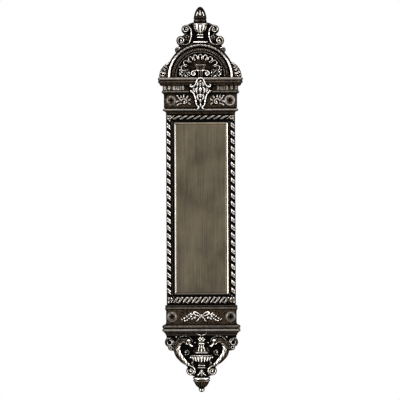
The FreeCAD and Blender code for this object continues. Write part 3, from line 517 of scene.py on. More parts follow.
def carveGarland(relief):
    f = friezeCarving
    low, crown, tone = casting["frieze"] - 0.1, casting["frieze"] + f["rise"] + 0.2, f["garlandTone"]
    z0 = f["garlandZ"]
    relief.stroke(flowing(moved(f["loop"], z0)), (0.9, 1.6, 1.6, 0.9), crown, tone, low)
    relief.stroke(flowing(moved(f["tail"], z0)), (1.3, 1.0), crown - 0.3, tone, low)
    relief.dome((0, z0 + 1.0), (1.3, 1.5), crown, tone, low, once)
    for x, dz, size in ((6.6, -0.8, 1.2), (10.2, 0.6, 1.3)):
        ring = spiral((x, z0 + dz), 0, 360, size * 0.78, size * 0.78, 24)
        relief.stroke(ring, size * 0.44, crown - 0.4, tone, low)
        relief.dome((x, z0 + dz), size * 0.5, crown, tone, low)
    for run, count in f["stems"]:
        stem = flowing(moved(run, z0))
        for i in range(count):
            x, z = stem[round((len(stem) - 1) * (i + 0.5) / count)]
            lean = 1.1 if i % 2 else -0.9
            relief.leaves([[(x - 0.9, z - lean * 0.4), (x + 1.1, z + lean)]], 1.5, crown, tone, low)


# Ridges of the arch by middle radius and half width, and its flats from radius to radius
archSizes = {
    "outer": (31.2, 32.6), "twisted": (29.75, 1.45), "upperFlat": (27.3, 28.3), "reeded": (26.05, 1.25),
    "lowerFlat": (24.0, 24.8), "bead": (23.4, 0.7), "hatch": 1.5, "twist": 3.4, "reed": 2.0, "run": 29,
}


def carveArch(relief):
    a = archSizes
    place, x, z = relief.patch(-33.4, 33.4, casting["corniceTop"], archZ + 33)
    rise = np.clip(z - archZ, 0, None)
    r = np.hypot(x, rise)
    run = np.where(z > archZ, np.arctan2(x, np.maximum(rise, 1e-6)) * a["run"],
                   np.sign(x) * (a["run"] * np.pi / 2 + archZ - z))
    twisted, reeded, bead = ((r - a[name][0]) / a[name][1] for name in ("twisted", "reeded", "bead"))
    flats = ("outer", "upperFlat", "lowerFlat")
    outer, upper, lower = ((r > a[name][0]) & (r <= a[name][1]) for name in flats)
    hatch = 0.35 * np.abs(np.sin(np.pi * (run / a["hatch"] + r * 0.5)))
    twist = 0.25 * np.abs(np.sin(np.pi * (run / a["twist"] + 0.45 * twisted))) ** 0.6
    reed = 0.35 * np.cos(2 * np.pi * run / a["reed"])
    form = np.where(outer, 5.8 + hatch, 0)
    form = np.where(np.abs(twisted) < 1, 5.2 + (3.1 + twist) * rounded(twisted), form)
    form = np.where(upper, 5.0, form)
    form = np.where(np.abs(reeded) < 1, 5.2 + (1.5 + reed) * rounded(reeded) ** 0.5, form)
    form = np.where(lower, 4.8, form)
    form = np.where(np.abs(bead) < 1, 4.6 + 1.3 * rounded(bead), form)
    rim = np.where(np.abs(r - 29.9) < 0.65, 1.25 + 1.35 * smooth(22, 8, rise), 1.0)
    relief.lift(place, form, np.where(r > a["outer"][0], 0.25, np.where(r > a["upperFlat"][1], rim, 0.5)))


def carveShell(relief):
    c = crest
    z0 = c["shellZ"]
    place, x, z = relief.patch(-21, 21, z0 - 4, z0 + 17)
    slope = math.tan(math.radians(c["petalStep"] / 2))
    for i in range(c["petals"]):
        a = math.radians(90 + (i - (c["petals"] - 1) / 2) * c["petalStep"])
        reach = 1 / math.hypot(math.cos(a) / c["shellHalf"], math.sin(a) / c["shellHeight"])
        u = x * math.cos(a) + (z - z0) * math.sin(a)
        v = -x * math.sin(a) + (z - z0) * math.cos(a)
        tip = reach * slope / (1 + slope)
        centre = reach - tip
        inset = np.where(u < centre, (u * slope - np.abs(v)) * 0.98, tip - np.hypot(u - centre, v))
        outer = smooth(reach - 7.0, reach - 3.0, u)
        rim = (1.5 + 1.3 * outer) * rounded(np.clip((inset - 0.66) / 0.66, -1, 1))
        flute = 0.9 - 0.4 * smooth(0.8, 2.0, inset) + 0.4 * np.exp(-(v / 0.5) ** 2) * smooth(0.9, 1.8, inset)
        petal = blank + np.where(inset > 0.7, np.maximum(rim, flute), rim)
        inside = (inset > 0) & (u > 5.2)
        relief.lift(place, np.where(inside, petal, 0), 0.45 + 2.0 * outer * (inset < 1.4))


def carveBasket(relief):
    z0 = crest["shellZ"]
    high = blank + 3.6
    place, x, z = relief.patch(-6.4, 6.4, z0 - 0.4, z0 + 6.6)
    half = 2.6 + (z - z0) * 0.52
    q = x / np.maximum(half, 0.1)
    scallop = z0 + 5.2 + 0.6 * np.abs(np.cos(np.pi * 2 * q))
    flutes = 0.55 * np.abs(np.cos(np.pi * 2 * q)) ** 0.6
    lip = np.exp(-((scallop - z - 0.5) / 0.4) ** 2)
    shape = (np.abs(q) < 1) & (z < scallop) & (z > z0)
    form = blank + 2.2 + flutes + 0.4 * lip + 0.8 * rounded(q)
    relief.lift(place, np.where(shape, form, 0), 0.5 + 0.4 * lip)
    for i in (-1, 0, 1):
        relief.stroke([(i * 1.65, archZ - 0.6), (i * 1.65, z0 + 0.4)], 1.3, high - 0.2, 0.35, sides=once)
    relief.bar(3.0, z0 - 0.2, 1.0, high, 2.0)
    eye = (6.3, archZ + 2.7)
    curl = spiral(eye, -290, 100, 0.8, 2.6, 30) + flowing([(5.4, archZ + 5.2), (3.6, z0 + 0.2)])
    relief.stroke(curl, (1.4, 1.9, 1.7), high + 0.8, 2.0)
    relief.dome(eye, 0.8, high + 0.2, 2.0)


# Leaves beside the shell and on the brackets start from the arch's level
crestLeaves = {
    "tympanum": [[(8.8, 1.6), (11.0, 3.6), (14.0, 3.8)], [(18.2, 7.2), (20.2, 9.4), (21.0, 12.0)],
                 [(9.6, 5.2), (12.2, 6.4), (15.6, 6.2)], [(15.0, 8.0), (17.8, 8.6), (20.4, 10.2)],
                 [(9.8, 0.8), (11.6, 2.4), (13.0, 5.2)], [(11.6, 0.4), (14.4, 1.0), (17.4, 2.8)],
                 [(12.4, 3.2), (14.6, 5.2), (17.0, 6.6)], [(16.8, 0.4), (19.0, 2.2), (20.4, 5.0)],
                 [(14.6, 3.0), (17.4, 4.6), (20.6, 7.2)]],
    "brackets": [[(33.2, 0.0), (35.8, 0.2), (38.6, 1.4)], [(32.8, 2.6), (35.4, 3.6), (38.0, 5.6)],
                 [(32.6, 5.4), (34.6, 7.0), (36.6, 9.4)], [(31.8, 8.2), (33.2, 10.2), (34.2, 12.4)]],
    "scrolls": [[(13.0, 160.4), (13.2, 163.6), (11.8, 166.2)], [(11.4, 159.2), (10.9, 162.4), (11.0, 165.6)],
                [(14.6, 163.4), (14.6, 165.8), (12.6, 168.2)], [(16.6, 164.6), (15.8, 166.4), (14.6, 167.2)],
                [(14.4, 155.2), (17.2, 154.4), (19.4, 152.2)], [(11.4, 156.6), (13.6, 155.2), (16.0, 154.0)],
                [(9.0, 176.0), (10.4, 175.6), (12.2, 174.8)]],
}


def carveTympanum(relief):
    relief.leaves(crestLeaves["tympanum"], 1.9, blank + 1.9, 1.5, start=(0, archZ))


def carveBrackets(relief):
    high, tone = blank + 3.1, 1.6
    relief.leaves(crestLeaves["brackets"], 2.5, high, tone, start=(0, archZ))
    r = crest["bracketRadius"] - 1.1
    for spot in spiral((crest["bracketX"], archZ), 6, 58.5, r, r, 5):
        relief.dome(spot, 1.0, high - 0.3, tone)
    relief.dome((31.0, 138.2), 1.5, high + 0.4, tone)


def carveCrestScrolls(relief):
    c = crest
    upper, lower, third = c["upper"], c["lower"], c["third"]
    path = spiral(lower, 300, -100, 2.0, c["lowerRadius"] - 1.0, 40)
    path += flowing([path[-1], (13.6, lower[1] - 4.0), (10.6, lower[1] - 2.2), (8.8, lower[1] + 2.4),
                     (8.3, upper[1] - 4.4), (8.9, upper[1] - 0.2), (10.8, upper[1] + 2.6)])[1:]
    path += spiral(upper, 120, -250, c["upperRadius"] - 1.0, 1.6, 40)
    tones = (1.8, 1.2, 0.35, 0.25, 0.5, 1.0, 2.4, 0.4, 0.3, 0.8, 1.7)
    relief.stroke(path, (1.2, 1.5, 1.5, 1.4, 1.2), scrollCrown, tones)
    relief.dome(lower, 1.2, scrollCrown + 0.2)
    relief.dome(upper, 0.9, scrollCrown + 0.2)
    small = flowing([(lower[0] - 2.0, lower[1] - 6.2), (lower[0] + 1.6, lower[1] - 7.2)])
    small += spiral(third, 90, -190, c["thirdRadius"] - 0.7, 0.9, 24)
    relief.stroke(small, (1.0, 1.5, 1.2), scrollCrown - 0.8)
    relief.dome(third, 0.9, scrollCrown - 0.6)
    relief.leaves(crestLeaves["scrolls"], 2.4, scrollCrown - 0.7)


# Patterns round a turned body, by the turn from its front and the level
def scales(count, height, rise):
    def pattern(around, z):
        turn = around * count / np.pi
        twill = np.sin(np.pi * (turn + z / height)) * np.sin(np.pi * (turn - z / height))
        return rise * np.sqrt(np.abs(twill))
    return pattern


def gadroons(count, rise):
    def pattern(around, z):
        return rise * smooth(0.15, 0.85, np.abs(np.cos(count * around)))
    return pattern


def carveCrestUrn(relief):
    axis, top, bowl, shoulder = (crest[name] for name in ("axis", "bowlTop", "bowlRadius", "shoulder"))
    for profile in (eggProfile(), crest["neck"]):
        relief.turned(profile, shoulder, axis, 0.15)
    for x0, z0, high in ((0, 183.4, 189.0), (2.7, 182.9, 187.2), (-2.7, 182.9, 187.2)):
        relief.leaves([[(x0, z0), (x0 * 0.85, high)]], 2.5, 8.7 - abs(x0) * 0.55, 1.7, 6.2, once, 2)
    for level in (182.1, 179.5):
        relief.turned([(5.4, -0.5), (6.2, 0), (5.4, 0.5)], level, axis + 0.5)
    relief.turned([(6.0, 0), (bowl, -0.2), (bowl, -1.1), (bowl - 0.8, -1.5)], top, axis, 0.4)
    body = [(bowl - 0.6, -1.5), (7.6, -3.4), (6.6, -5.6), (4.6, -8.0), (2.8, -9.6)]
    relief.turned(body, top, axis - 0.5, 2.3, pattern=gadroons(7, 1.4))
    stem = [(2.8, 0), (3.6, -0.4), (3.6, -1.3), (2.7, -1.7), (2.7, -2.6), (3.7, -3.0), (3.7, -4.0),
            (2.9, -4.4), (2.9, -5.2), (4.8, -6.8), (4.8, -7.4)]
    relief.turned(stem, top - 9.6, axis + 1.0, 0.8)
    for level, half in ((165.6, 2.7), (162.9, 2.5)):
        relief.bar(half, level, 1.2, 7.0, 2.2, 5.0)
    relief.bar(6.4, 158.4, 1.6, 8.7, 2.5, blank + 1.5)


def carvePendantScrolls(relief):
    p = pendant
    side, curl, small, low, high = p["side"], p["curl"], p["small"], p["low"], scrollCrown
    ring = spiral(side, 190, -110, p["sideRadius"] - 0.8, p["sideRadius"] - 0.9, 44)
    ring += flowing(moved([(28.8, -4.2), (26.9, -5.4), (25.3, -7.4)], side[1]))
    relief.stroke(ring, 0.9, high - 0.8, 0.6)
    relief.stroke(spiral(side, 400, 90, 2.2, 2.4, 30), (0.9, 1.5, 1.3), high + 0.2, 2.4)
    relief.dome((32.4, -123.4), (1.2, 1.0), high - 0.6)
    relief.stroke(spiral(curl, 100, -210, p["curlRadius"] - 0.8, 0.8, 24), 1.0, high - 0.8)
    relief.leaves([[(27.0, -129.4), (26.6, -132.0), (27.8, -134.2)]], 2.0, high - 0.8)
    relief.dome((24.0, -122.3), 1.1, high, 2.0)
    relief.stroke(spiral(small, -60, 300, 1.1, 2.7, 26), 0.9, high - 0.6, 0.6)
    relief.dome(small, 0.8, high - 0.4, 0.6)
    scroll = flowing([(15.0, low[1] + 6.6), (low[0] + 3.6, low[1] + 3.4)])
    scroll += spiral(low, 30, -330, p["lowRadius"] - 1.0, 1.7, 40)
    relief.stroke(scroll, (1.0, 1.2, 1.2, 1.0), high - 0.2, 1.4)
    wrap = [(12.6, -149.4), (9.2, -150.6), (6.6, -152.8), (6.3, -155.6), (7.4, -158.0)]
    relief.stroke(flowing(wrap), (1.0, 1.7, 0.9), high + 0.3, 2.3)
    relief.dome(low, 1.2, high + 0.6, 2.3)
    brow = [(8.6, -127.2), (9.6, -124.4), (12.6, -122.2), (16.8, -121.6), (20.4, -122.6), (22.6, -125.0)]
    relief.stroke(flowing(brow), (0.8, 1.0, 0.8), high - 1.2, 0.8)
    relief.leaves([[(7.4, -144.6), (9.0, -148.0), (7.2, -151.2)]], 2.2, high - 1.0)


dolphin = {
    "axis": 4.6, "radius": 3.1, "bands": 7, "eye": (13.3, -127.6),
    "spine": [(12.6, -127.4), (14.6, -126.2), (17.4, -125.9), (20.4, -127.2), (22.6, -130.4), (23.1, -134.6),
              (21.3, -139.4), (17.4, -144.4), (12.9, -148.8)],
    "shares": [0.85, 0.85, 0.8, 0.92, 1.0, 1.0, 0.95, 0.8, 0.55],
    "fins": [[(20.4, -124.2), (23.6, -126.4), (25.6, -130.4)],
             [(25.4, -130.4), (26.4, -133.8), (25.9, -137.8)],
             [(25.4, -136.6), (24.8, -140.0), (22.6, -143.4)],
             [(22.0, -142.4), (20.0, -145.6), (17.0, -148.6)]],
}


def carveDolphins(relief):
    p = dolphin
    path = flowing(p["spine"])
    steps = np.hypot(*np.diff(p["spine"], axis=0).T)
    marks = np.concatenate([[0], np.cumsum(steps)]) / steps.sum()
    for side in both:
        place, x, z = relief.around(path, 4, side)
        t, d, off = along(path, x, z)
        radius = p["radius"] * np.interp(t, marks, p["shares"])
        q = off / radius
        bands = smooth(0.2, 0.6, np.abs(np.sin(np.pi * (p["bands"] * t - 0.9 * q))))
        form = p["axis"] + (radius + 0.8 * bands - 0.7) * rounded(d / radius) ** 0.8
        tone = np.interp(q, (-0.95, -0.65, 0.0, 0.45, 1.0), (0.3, 2.5, 2.0, 0.9, 0.5))
        tone = np.where(bands > 0.5, tone * np.interp(t, (0.3, 0.5), (0.62, 1.0)), -0.8)
        relief.lift(place, np.where(d < radius, form, 0), tone)
    crown = p["axis"] + p["radius"]
    relief.dome((13.0, -126.8), (3.2, 2.7), crown + 0.4, 1.3)
    relief.dome((12.0, -125.5), (1.5, 1.2), crown + 0.6, 2.6, crown - 1.0)
    relief.stroke(spiral(p["eye"], 150, 380, 1.5, 1.5, 20), 0.9, crown + 0.8, 2.6, crown - 1.0)
    beak = flowing([(11.3, -129.2), (9.4, -131.0), (7.0, -131.5)])
    relief.stroke(beak, (1.6, 2.1, 0.7), (7.8, 7.6, 6.6), 2.6)
    relief.stroke(flowing([(10.8, -130.4), (10.0, -128.8)]), (1.2, 0.7), (7.4, 6.8), 2.6)
    relief.dome(p["eye"], 1.0, crown + 0.9, -1.0, crown - 1.0)
    relief.leaves(p["fins"], 1.8, 6.6, 0.5, lobes=4)


def carvePendantUrn(relief):
    axis, bowl, front = (pendant[name] for name in ("axis", "bowlRadius", "bowlFront"))
    b, rim = baseZ, baseZ - 19.0
    relief.stroke(flowing(moved([(5.0, 1.7), (2.8, 0.7), (0.5, 0.3)], b)), (0.9, 1.3), 8.9, 2.4, 6.4)
    relief.dome((6.2, b - 7.2), 0.95, scrollCrown, 2.4)
    knob = [(1.4, -0.9), (3.2, -1.8), (4.3, -4.0), (3.7, -6.2), (2.4, -7.4)]
    relief.turned(knob, b, axis + 1.0, 2.2, pattern=scales(4, 3.0, 1.0))
    relief.turned([(3.0, -7.5), (3.9, -7.9), (3.9, -8.4), (3.0, -8.8)], b, axis + 1.2, 2.2)
    lid = [(2.8, -8.9), (3.6, -10.6), (5.0, -12.6), (7.0, -14.4), (8.4, -15.6), (8.4, -16.0)]
    relief.turned(lid, b, axis, 0.15)
    relief.stroke(moved([(0, -9.7), (0, -14.8)], b), (1.1, 1.9), (5.8, 9.9), 2.6, sides=once)
    relief.stroke(moved([(1.7, -9.7), (3.1, -14.8)], b), (1.0, 1.8), (5.4, 9.4), 2.6)
    relief.stroke(moved([(5.0, -12.4), (7.6, -15.2)], b), 0.8, (5.6, 6.2), 0.5)
    relief.turned([(7.2, -16.1), (7.8, -16.4), (7.8, -16.8), (6.9, -17.2)], b, axis + 0.5, 1.3)
    relief.turned([(6.4, -17.2), (7.4, -18.4), (10.6, -19.0)], b, axis, 0.2, 0.6)
    relief.turned([(bowl - 0.9, 0), (bowl, -0.4), (bowl, -0.7), (bowl - 1.2, -1.1)], rim, 0.9, 0.5, 0.78)
    body = [(bowl - 0.9, -1.1), (front, -3.0), (9.6, -4.8), (7.2, -6.6), (4.6, -7.9)]
    relief.turned(body, rim, 0.6, -0.8, 0.72)
    for i in range(pendant["gadroons"]):
        turn = math.radians(150 * ((i + 0.5) / pendant["gadroons"] - 0.5))
        x0, high = front * math.sin(turn), 0.6 + 0.72 * front * math.cos(turn)
        path = [(x0, rim - 2.6), (x0 * 0.86, rim - 2.7 - 3.4 * math.cos(turn) ** 0.7)]
        relief.stroke(path, (2.0, 1.2), (high + 1.0, high - 0.5), 2.8, high - 1.4, once)
    for level, half in ((b - 28.9, 2.5), (b - 31.0, 3.0)):
        relief.bar(half, level, 1.5, 7.4, 2.2, 4.6)
    relief.turned([(4.6, -26.6), (2.6, -28.0), (2.6, -33.4)], b, axis + 1.0, 0.3)
    drop = dropProfile()
    for first, last, tone in ((0, 5, 0.3), (4, 6, 2.8), (5, 8, -1.0), (7, 10, 0.7)):
        relief.turned(drop[first:last], 0, axis, tone)
    relief.turned(drop[9:14], 0, axis - 1.0, 0.14, pattern=gadroons(8, 0.9))
    relief.turned(drop[13:], 0, axis + 1.4, 0.2)
    # Two small bumps on the bottom ball, one each side, painted bright as its highlights
    relief.dome((1.45, b - 52.3), (1.2, 1.3), 7.2, 2.7)
    for tilt, tone in ((-1, 1.2), (0, 2.2), (1, 1.2)):
        leaf = [(tilt * 0.5, -33.2), (tilt * 1.5, -36.4), (tilt * 4.6, -39.4 + abs(tilt) * 0.3)]
        relief.leaves([leaf], 2.2, 8.6 - abs(tilt), tone, 5.2, once, 4, (0, b))


def carveSinks(relief):
    c = casting
    for z0 in (c["holeZ"], -c["holeZ"]):
        for side in both:
            place, x, z = relief.patch(c["holeX"] - 5, c["holeX"] + 5, z0 - 5, z0 + 5, side)
            deep = c["sinkRadius"] - np.hypot(x - c["holeX"], z - z0)
            sink = np.where(deep > 0, c["frieze"] - deep / c["sinkSlope"], 99)
            relief.height[place] = np.minimum(relief.height[place], sink)


# Blurred heights show which points stand proud and which lie deep
def blurred(height, reach):
    made = height
    span = 2 * reach + 1
    for axis in (0, 1, 0, 1):
        pad = [(reach, reach) if a == axis else (0, 0) for a in (0, 1)]
        total = np.cumsum(np.pad(made, pad, mode="edge"), axis=axis)
        total = np.concatenate([np.zeros_like(np.take(total, [0], axis)), total], axis=axis)
        count = made.shape[axis]
        made = (np.take(total, range(span, span + count), axis) - np.take(total, range(count), axis)) / span
    return made


def carve():
    relief = Relief(*makeGrid())
    baseLevels(relief)
    for work in (carvePanel, carveRopes, carveTongues, carveFriezeScrolls, carveGarland, carveShield,
                 carveArch, carveShell, carveTympanum, carveBasket, carveBrackets, carveCrestScrolls,
                 carveCrestUrn, carvePendantScrolls, carveDolphins, carvePendantUrn, carveSinks):
        work(relief)
    print("carved", relief.height.shape, "points, crown", round(relief.height.max(), 2))
    return relief


# Below 0 inside the casting: its outline less the four screw holes
def outlineField(relief):
    c = casting
    x, z = np.meshgrid(np.abs(relief.xs), relief.zs)
    field = x - halfWidths(relief.zs)[:, None]
    inside = (z >= c["tip"]) & (z <= c["crestTop"])
    field = np.where(inside, field, np.maximum(field, 0.3))
    far = np.hypot(x - c["holeX"], np.abs(z) - c["holeZ"])
    field = np.maximum(field, c["holeRadius"] - far)
    return np.where(np.abs(field) < 0.05, 0.0, field)


# Faces over the rows and columns, cut at the outline, with one flat face for the middle of the panel
def frontMesh(relief, field, layers):
    rows, cols = field.shape
    points, values, faces = [], [], []
    number = {}
    edge = casting["bevel"] + casting["panelInset"]
    flatCol = np.abs(relief.xs) <= casting["panelHalf"] - edge + 1e-6
    flatRow = np.abs(relief.zs) <= casting["panelTop"] - edge + 1e-6

    def added(key, x, z, kept):
        number[key] = len(points)
        points.append((x, -relief.height[kept], z))
        values.append([layer[kept] for layer in layers])

    def corner(r, c):
        key = (r, c)
        if key not in number:
            added(key, relief.xs[c], relief.zs[r], key)
        return number[key]

    def crossing(a, b):
        key = (min(a, b), max(a, b))
        if key not in number:
            (r0, c0), (r1, c1) = key
            t = field[r0, c0] / (field[r0, c0] - field[r1, c1])
            x = relief.xs[c0] + (relief.xs[c1] - relief.xs[c0]) * t
            z = relief.zs[r0] + (relief.zs[r1] - relief.zs[r0]) * t
            added(key, x, z, key[0] if field[key[0]] < 0 else key[1])
        return number[key]

    for r in range(rows - 1):
        for c in range(cols - 1):
            if flatRow[r] and flatRow[r + 1] and flatCol[c] and flatCol[c + 1]:
                continue
            ring = [(r, c), (r, c + 1), (r + 1, c + 1), (r + 1, c)]
            levels = [field[k] for k in ring]
            if min(levels) >= 0:
                continue
            if max(levels) <= 0:
                faces.append([corner(*k) for k in ring])
                continue
            loop = []
            for a, b in zip(ring, ring[1:] + ring[:1]):
                if field[a] <= 0:
                    loop.append(corner(*a))
                if field[a] * field[b] < 0:
                    loop.append(crossing(a, b))
            if len(loop) > 2:
                faces.append(loop)
    flatR, flatC = np.flatnonzero(flatRow), np.flatnonzero(flatCol)
    r0, r1, c0, c1 = flatR[0], flatR[-1], flatC[0], flatC[-1]
    ring = [(r0, c) for c in range(c0, c1)] + [(r, c1) for r in range(r0, r1)]
    ring += [(r1, c) for c in range(c1, c0, -1)] + [(r, c0) for r in range(r1, r0, -1)]
    faces.append([corner(*k) for k in ring])
    return points, values, faces


# Closed loops of the edges that only one face uses, each in its face's direction
def openLoops(faces):
    after = {}
    used = set()
    for face in faces:
        for a, b in zip(face, face[1:] + face[:1]):
            used.add((a, b))
    for a, b in used:
        if (b, a) not in used:
            after.setdefault(a, []).append(b)
    loops = []
    while after:
        start = next(iter(after))
        loop = [start]
        while True:
            ends = after[loop[-1]]
            step = ends.pop()
            if not ends:
                del after[loop[-1]]
            if step == start:
                break
            loop.append(step)
        loops.append(loop)
    return sorted(loops, key=len, reverse=True)


wearAndPaintedLight = {
    # Bands from z to z, with the shares of their points that lie deepest, deep, pale and palest
    "zones": [(-180, baseZ, 0.35, 0.62, 0.72, 0.9), (baseZ, -107.8, 0.2, 0.42, 0.5, 0.92),
              (-107.8, -92.4, 0.06, 0.2, 0.8, 0.94), (-92.4, 83.5, 0.3, 0.6, 0.66, 0.9),
              (83.5, 96.1, 0.25, 0.55, 0.78, 0.97), (96.1, 107.3, 0.16, 0.36, 0.78, 0.94),
              (107.3, 124.6, 0.25, 0.5, 0.68, 0.95), (124.6, 200, 0.35, 0.64, 0.75, 0.92)],
    # How far in the panel's edge line lies on each side, and how bright: partly an edge bright from rubbing,
    # partly a painted highlight that lies further in on the shaded left and is brighter along the sides than
    # the ends
    "lineLeft": 1.85, "lineRight": 0.8, "lineTop": 0.35, "lineLow": 1.1, "sideHighlight": 0.95, "endHighlight": 0.12,
    # Painted highlight on the ring round each screw's seat, brightest at the upper right, faint at the upper
    # left and dim below, as the light falls
    "seatLow": 0.22, "seatLeft": 0.09, "seatRight": 0.7, "seatRadius": 4.5,
}


# How far each point is bright from rubbing or lies in oxide, with painted highlights and painted shade laid
# into both, and where the brushed panel is
def wearAndLightLayers(relief, field):
    c, w = casting, wearAndPaintedLight
    height, left = relief.height, relief.xs < 0
    x, z = np.meshgrid(np.abs(relief.xs), relief.zs)
    fine, near, wide = (height - blurred(height, reach) for reach in (1, 2, 5))
    level = fine / 0.25 + near / 0.5 + np.clip(wide, -1, 0.5) / 5
    inset = panelInset(x, z)
    inside = (field < -0.8) & (inset < 0)
    proud, deep = np.zeros(height.shape), np.zeros(height.shape)
    for low, high, darkest, dark, pale, palest in w["zones"]:
        zone = (z >= low) & (z < high)
        a, b, d, e = np.quantile(level[zone & inside], (darkest, dark, pale, palest))
        proud = np.where(zone, smooth(d, e, level * np.maximum(relief.rubAndLight, 1) ** 1.6), proud)
        deep = np.where(zone, smooth(b, a, level), deep)
    framed = (z > c["frameBottom"]) & (z < c["frameTop"])
    carved = (z > c["corniceTop"]) | (z < baseZ)
    over = height - np.where(framed, c["floor"], blank)
    sunk = np.where(framed, smooth(1.5, 0.4, over), smooth(2.2, 0.5, over))
    deep = np.where(framed | carved, np.maximum(deep, sunk), deep)
    # Painted highlight along the panel's edge, placed and brightened by where the light falls, partly an
    # edge bright from rubbing, with painted shade on the bevel outside it
    sideways = (c["panelHalf"] - x) < (c["panelTop"] - np.abs(z))
    line = np.where(sideways, np.where(left, w["lineLeft"], w["lineRight"]),
                    np.where(z > 0, w["lineTop"], w["lineLow"]))
    rubAndLight = np.exp(-((inset - line) / 0.45) ** 4) * np.where(sideways, w["sideHighlight"], w["endHighlight"])
    fillet = np.exp(-((x - c["filletX"]) / 0.5) ** 4) * (np.abs(z) < c["panelTop"])
    deep = np.maximum(deep * (1 - 0.8 * fillet), (inset > 0) * smooth(line - 0.35, line - 0.75, inset))
    # Lip lines and dark tones join the shares here: rubbing and oxide, partly painted highlight and painted
    # shade
    deep = np.maximum(deep, np.clip(-np.minimum(relief.rubAndLight, relief.lipWearAndLight), 0, 1))
    proud = np.maximum(proud * np.clip(relief.rubAndLight, 0, 1), np.clip(relief.rubAndLight - 2, 0, 1))
    proud = np.where(inset > 0, rubAndLight, np.maximum(proud, relief.lipWearAndLight))
    # Painted highlight ring round each screw's seat, its brightness set by side and level
    far = np.hypot(x - c["holeX"], np.abs(z) - c["holeZ"])
    ring = np.where(z < 0, w["seatLow"], np.where(left, w["seatLeft"], w["seatRight"]))
    proud = np.maximum(proud, ring * np.exp(-((far - w["seatRadius"]) / 0.3) ** 2))
    deep = np.maximum(deep, smooth(4.2, 3.9, far))
    # Painted shade along the outline: the casting's outer edge is darkened and loses its paleness, where its
    # rounded edge turns from the light
    rim = smooth(1.5, 0.5, -field) * (far > 5)
    proud = proud * (1 - rim)
    deep = np.maximum(deep * (1 - proud), 0.85 * rim)
    flat = smooth(line + 0.35, line + 0.7, inset) * (1 - 0.6 * incised(inset))
    return proud, deep, flat


# A smooth object from points in mm, with a layer of values for each name
def meshObject(name, points, faces, layers):
    mesh = bpy.data.meshes.new(name)
    mesh.from_pydata([(x * mm, y * mm, z * mm) for x, y, z in points], [], faces)
    for title, values in layers.items():
        layer = mesh.attributes.new(title, "FLOAT", "POINT")
        layer.data.foreach_set("value", np.array(values, dtype=np.float32))
    mesh.shade_smooth()
    mesh.set_sharp_from_angle(angle=math.radians(46))
    made = bpy.data.objects.new(name, mesh)
    bpy.context.collection.objects.link(made)
    return made


def makePlate():
    relief = carve()
    field = outlineField(relief)
    layers = wearAndLightLayers(relief, field)
    relief.height -= casting["edgeRound"] * smooth(0.7, 0, -field) * (relief.height > blank + 0.6)
    points, values, faces = frontMesh(relief, field, layers)
    loops = openLoops(faces)
    order = [i for loop in loops for i in loop]
    flat = {i: (points[i][0], points[i][2]) for i in order}
    back = {i: len(points) + k for k, i in enumerate(flat)}
    points += [(x, 0.0, z) for x, z in flat.values()]
    values += [[0.0, 0.0, 0.0] for i in back]
    edges, first = [], 0
    for loop in loops:
        for a, b in zip(loop, loop[1:] + loop[:1]):
            faces.append([b, a, back[a], back[b]])
        edges += [(first + k, first + (k + 1) % len(loop)) for k in range(len(loop))]
        first += len(loop)
    made = delaunay_2d_cdt([Vector(flat[i]) for i in order], edges, [], 1, 1e-6)
    spots, cover, origins = made[0], made[2], made[3]
    middles = np.array([sum((spots[i] for i in tri), Vector((0, 0))) / 3 for tri in cover])
    inHole = np.zeros(len(middles), bool)
    for loop in loops[1:]:
        inHole |= within([flat[i] for i in loop], *middles.T) > 0
    for tri in (cover[k] for k in np.flatnonzero(~inHole)):
        faces.append([back[order[origins[i][0]]] for i in reversed(tri)])
    plate = meshObject("fingerPlate", points, faces, dict(zip(("proud", "deep", "flat"), zip(*values))))
    triangles = sum(len(f) - 2 for f in faces)
    print("plate mesh:", len(points), "points,", triangles, "triangles,", len(loops), "edge loops")
    return plate


# Turns of the cross recess and how much darker each head is, by its side and level
screwSizes = {
    "head": 4.0, "dome": 1.1, "shank": 2.08, "root": 1.45, "thread": 1.9, "pitch": 2.5, "threadStep": 0.25,
    "tipLength": 4.5, "tip": -18.8, "slotHalf": 0.6, "slotReach": 2.5, "slotDepth": 1.7, "segments": 40,
    "turns": {(-1, 1): (4, 0.15), (1, 1): (2, 0.35), (-1, -1): (1, 0.0), (1, -1): (3, 0.55)},
}


# One screw as rings about its axis: domed cross-recess head, neck, plain shank, thread and point
def screwRings():
    s = screwSizes
    front = casting["frieze"]
    turns = np.linspace(0, 2 * np.pi, s["segments"], endpoint=False)
    rings = []
    for r in np.linspace(0.12, 1, 18) * s["head"]:
        u, v = np.abs(r * np.cos(turns)), np.abs(r * np.sin(turns))
        crown = front + s["dome"] * (1 - (r / s["head"]) ** 2)
        arm = np.maximum(*(smooth(0.28, 0, a - s["slotHalf"]) * smooth(0.5, 0, b - s["slotReach"])
                           for a, b in ((v, u), (u, v))))
        depth = s["slotDepth"] * (1 - 0.55 * r / s["slotReach"])
        rim = smooth(0.8, 0.9, r / s["head"]) * np.ones_like(turns)
        rings.append((np.full_like(turns, r), crown - np.clip(depth, 0.3, None) * arm, arm, rim))
    neck = (s["head"] - s["shank"]) / casting["sinkSlope"]
    plain = np.zeros_like(turns)
    for r, h in ((s["head"], front - 0.12), (s["shank"], front - neck), (s["shank"], 0.3), (s["root"], 0.0)):
        rings.append((np.full_like(turns, r), np.full_like(turns, h), plain, plain))
    for h in np.arange(-s["threadStep"], s["tip"], -s["threadStep"]):
        taper = np.clip((h - s["tip"]) / s["tipLength"], 0.03, 1)
        wave = np.abs(((h / s["pitch"] + turns / (2 * np.pi)) % 1) * 2 - 1)
        ridge = smooth(0.55, 1.0, wave) * smooth(0, -1.0, h)
        r = (s["root"] + (s["thread"] - s["root"]) * ridge) * taper
        rings.append((r, np.full_like(turns, h), plain, plain))
    return turns, rings


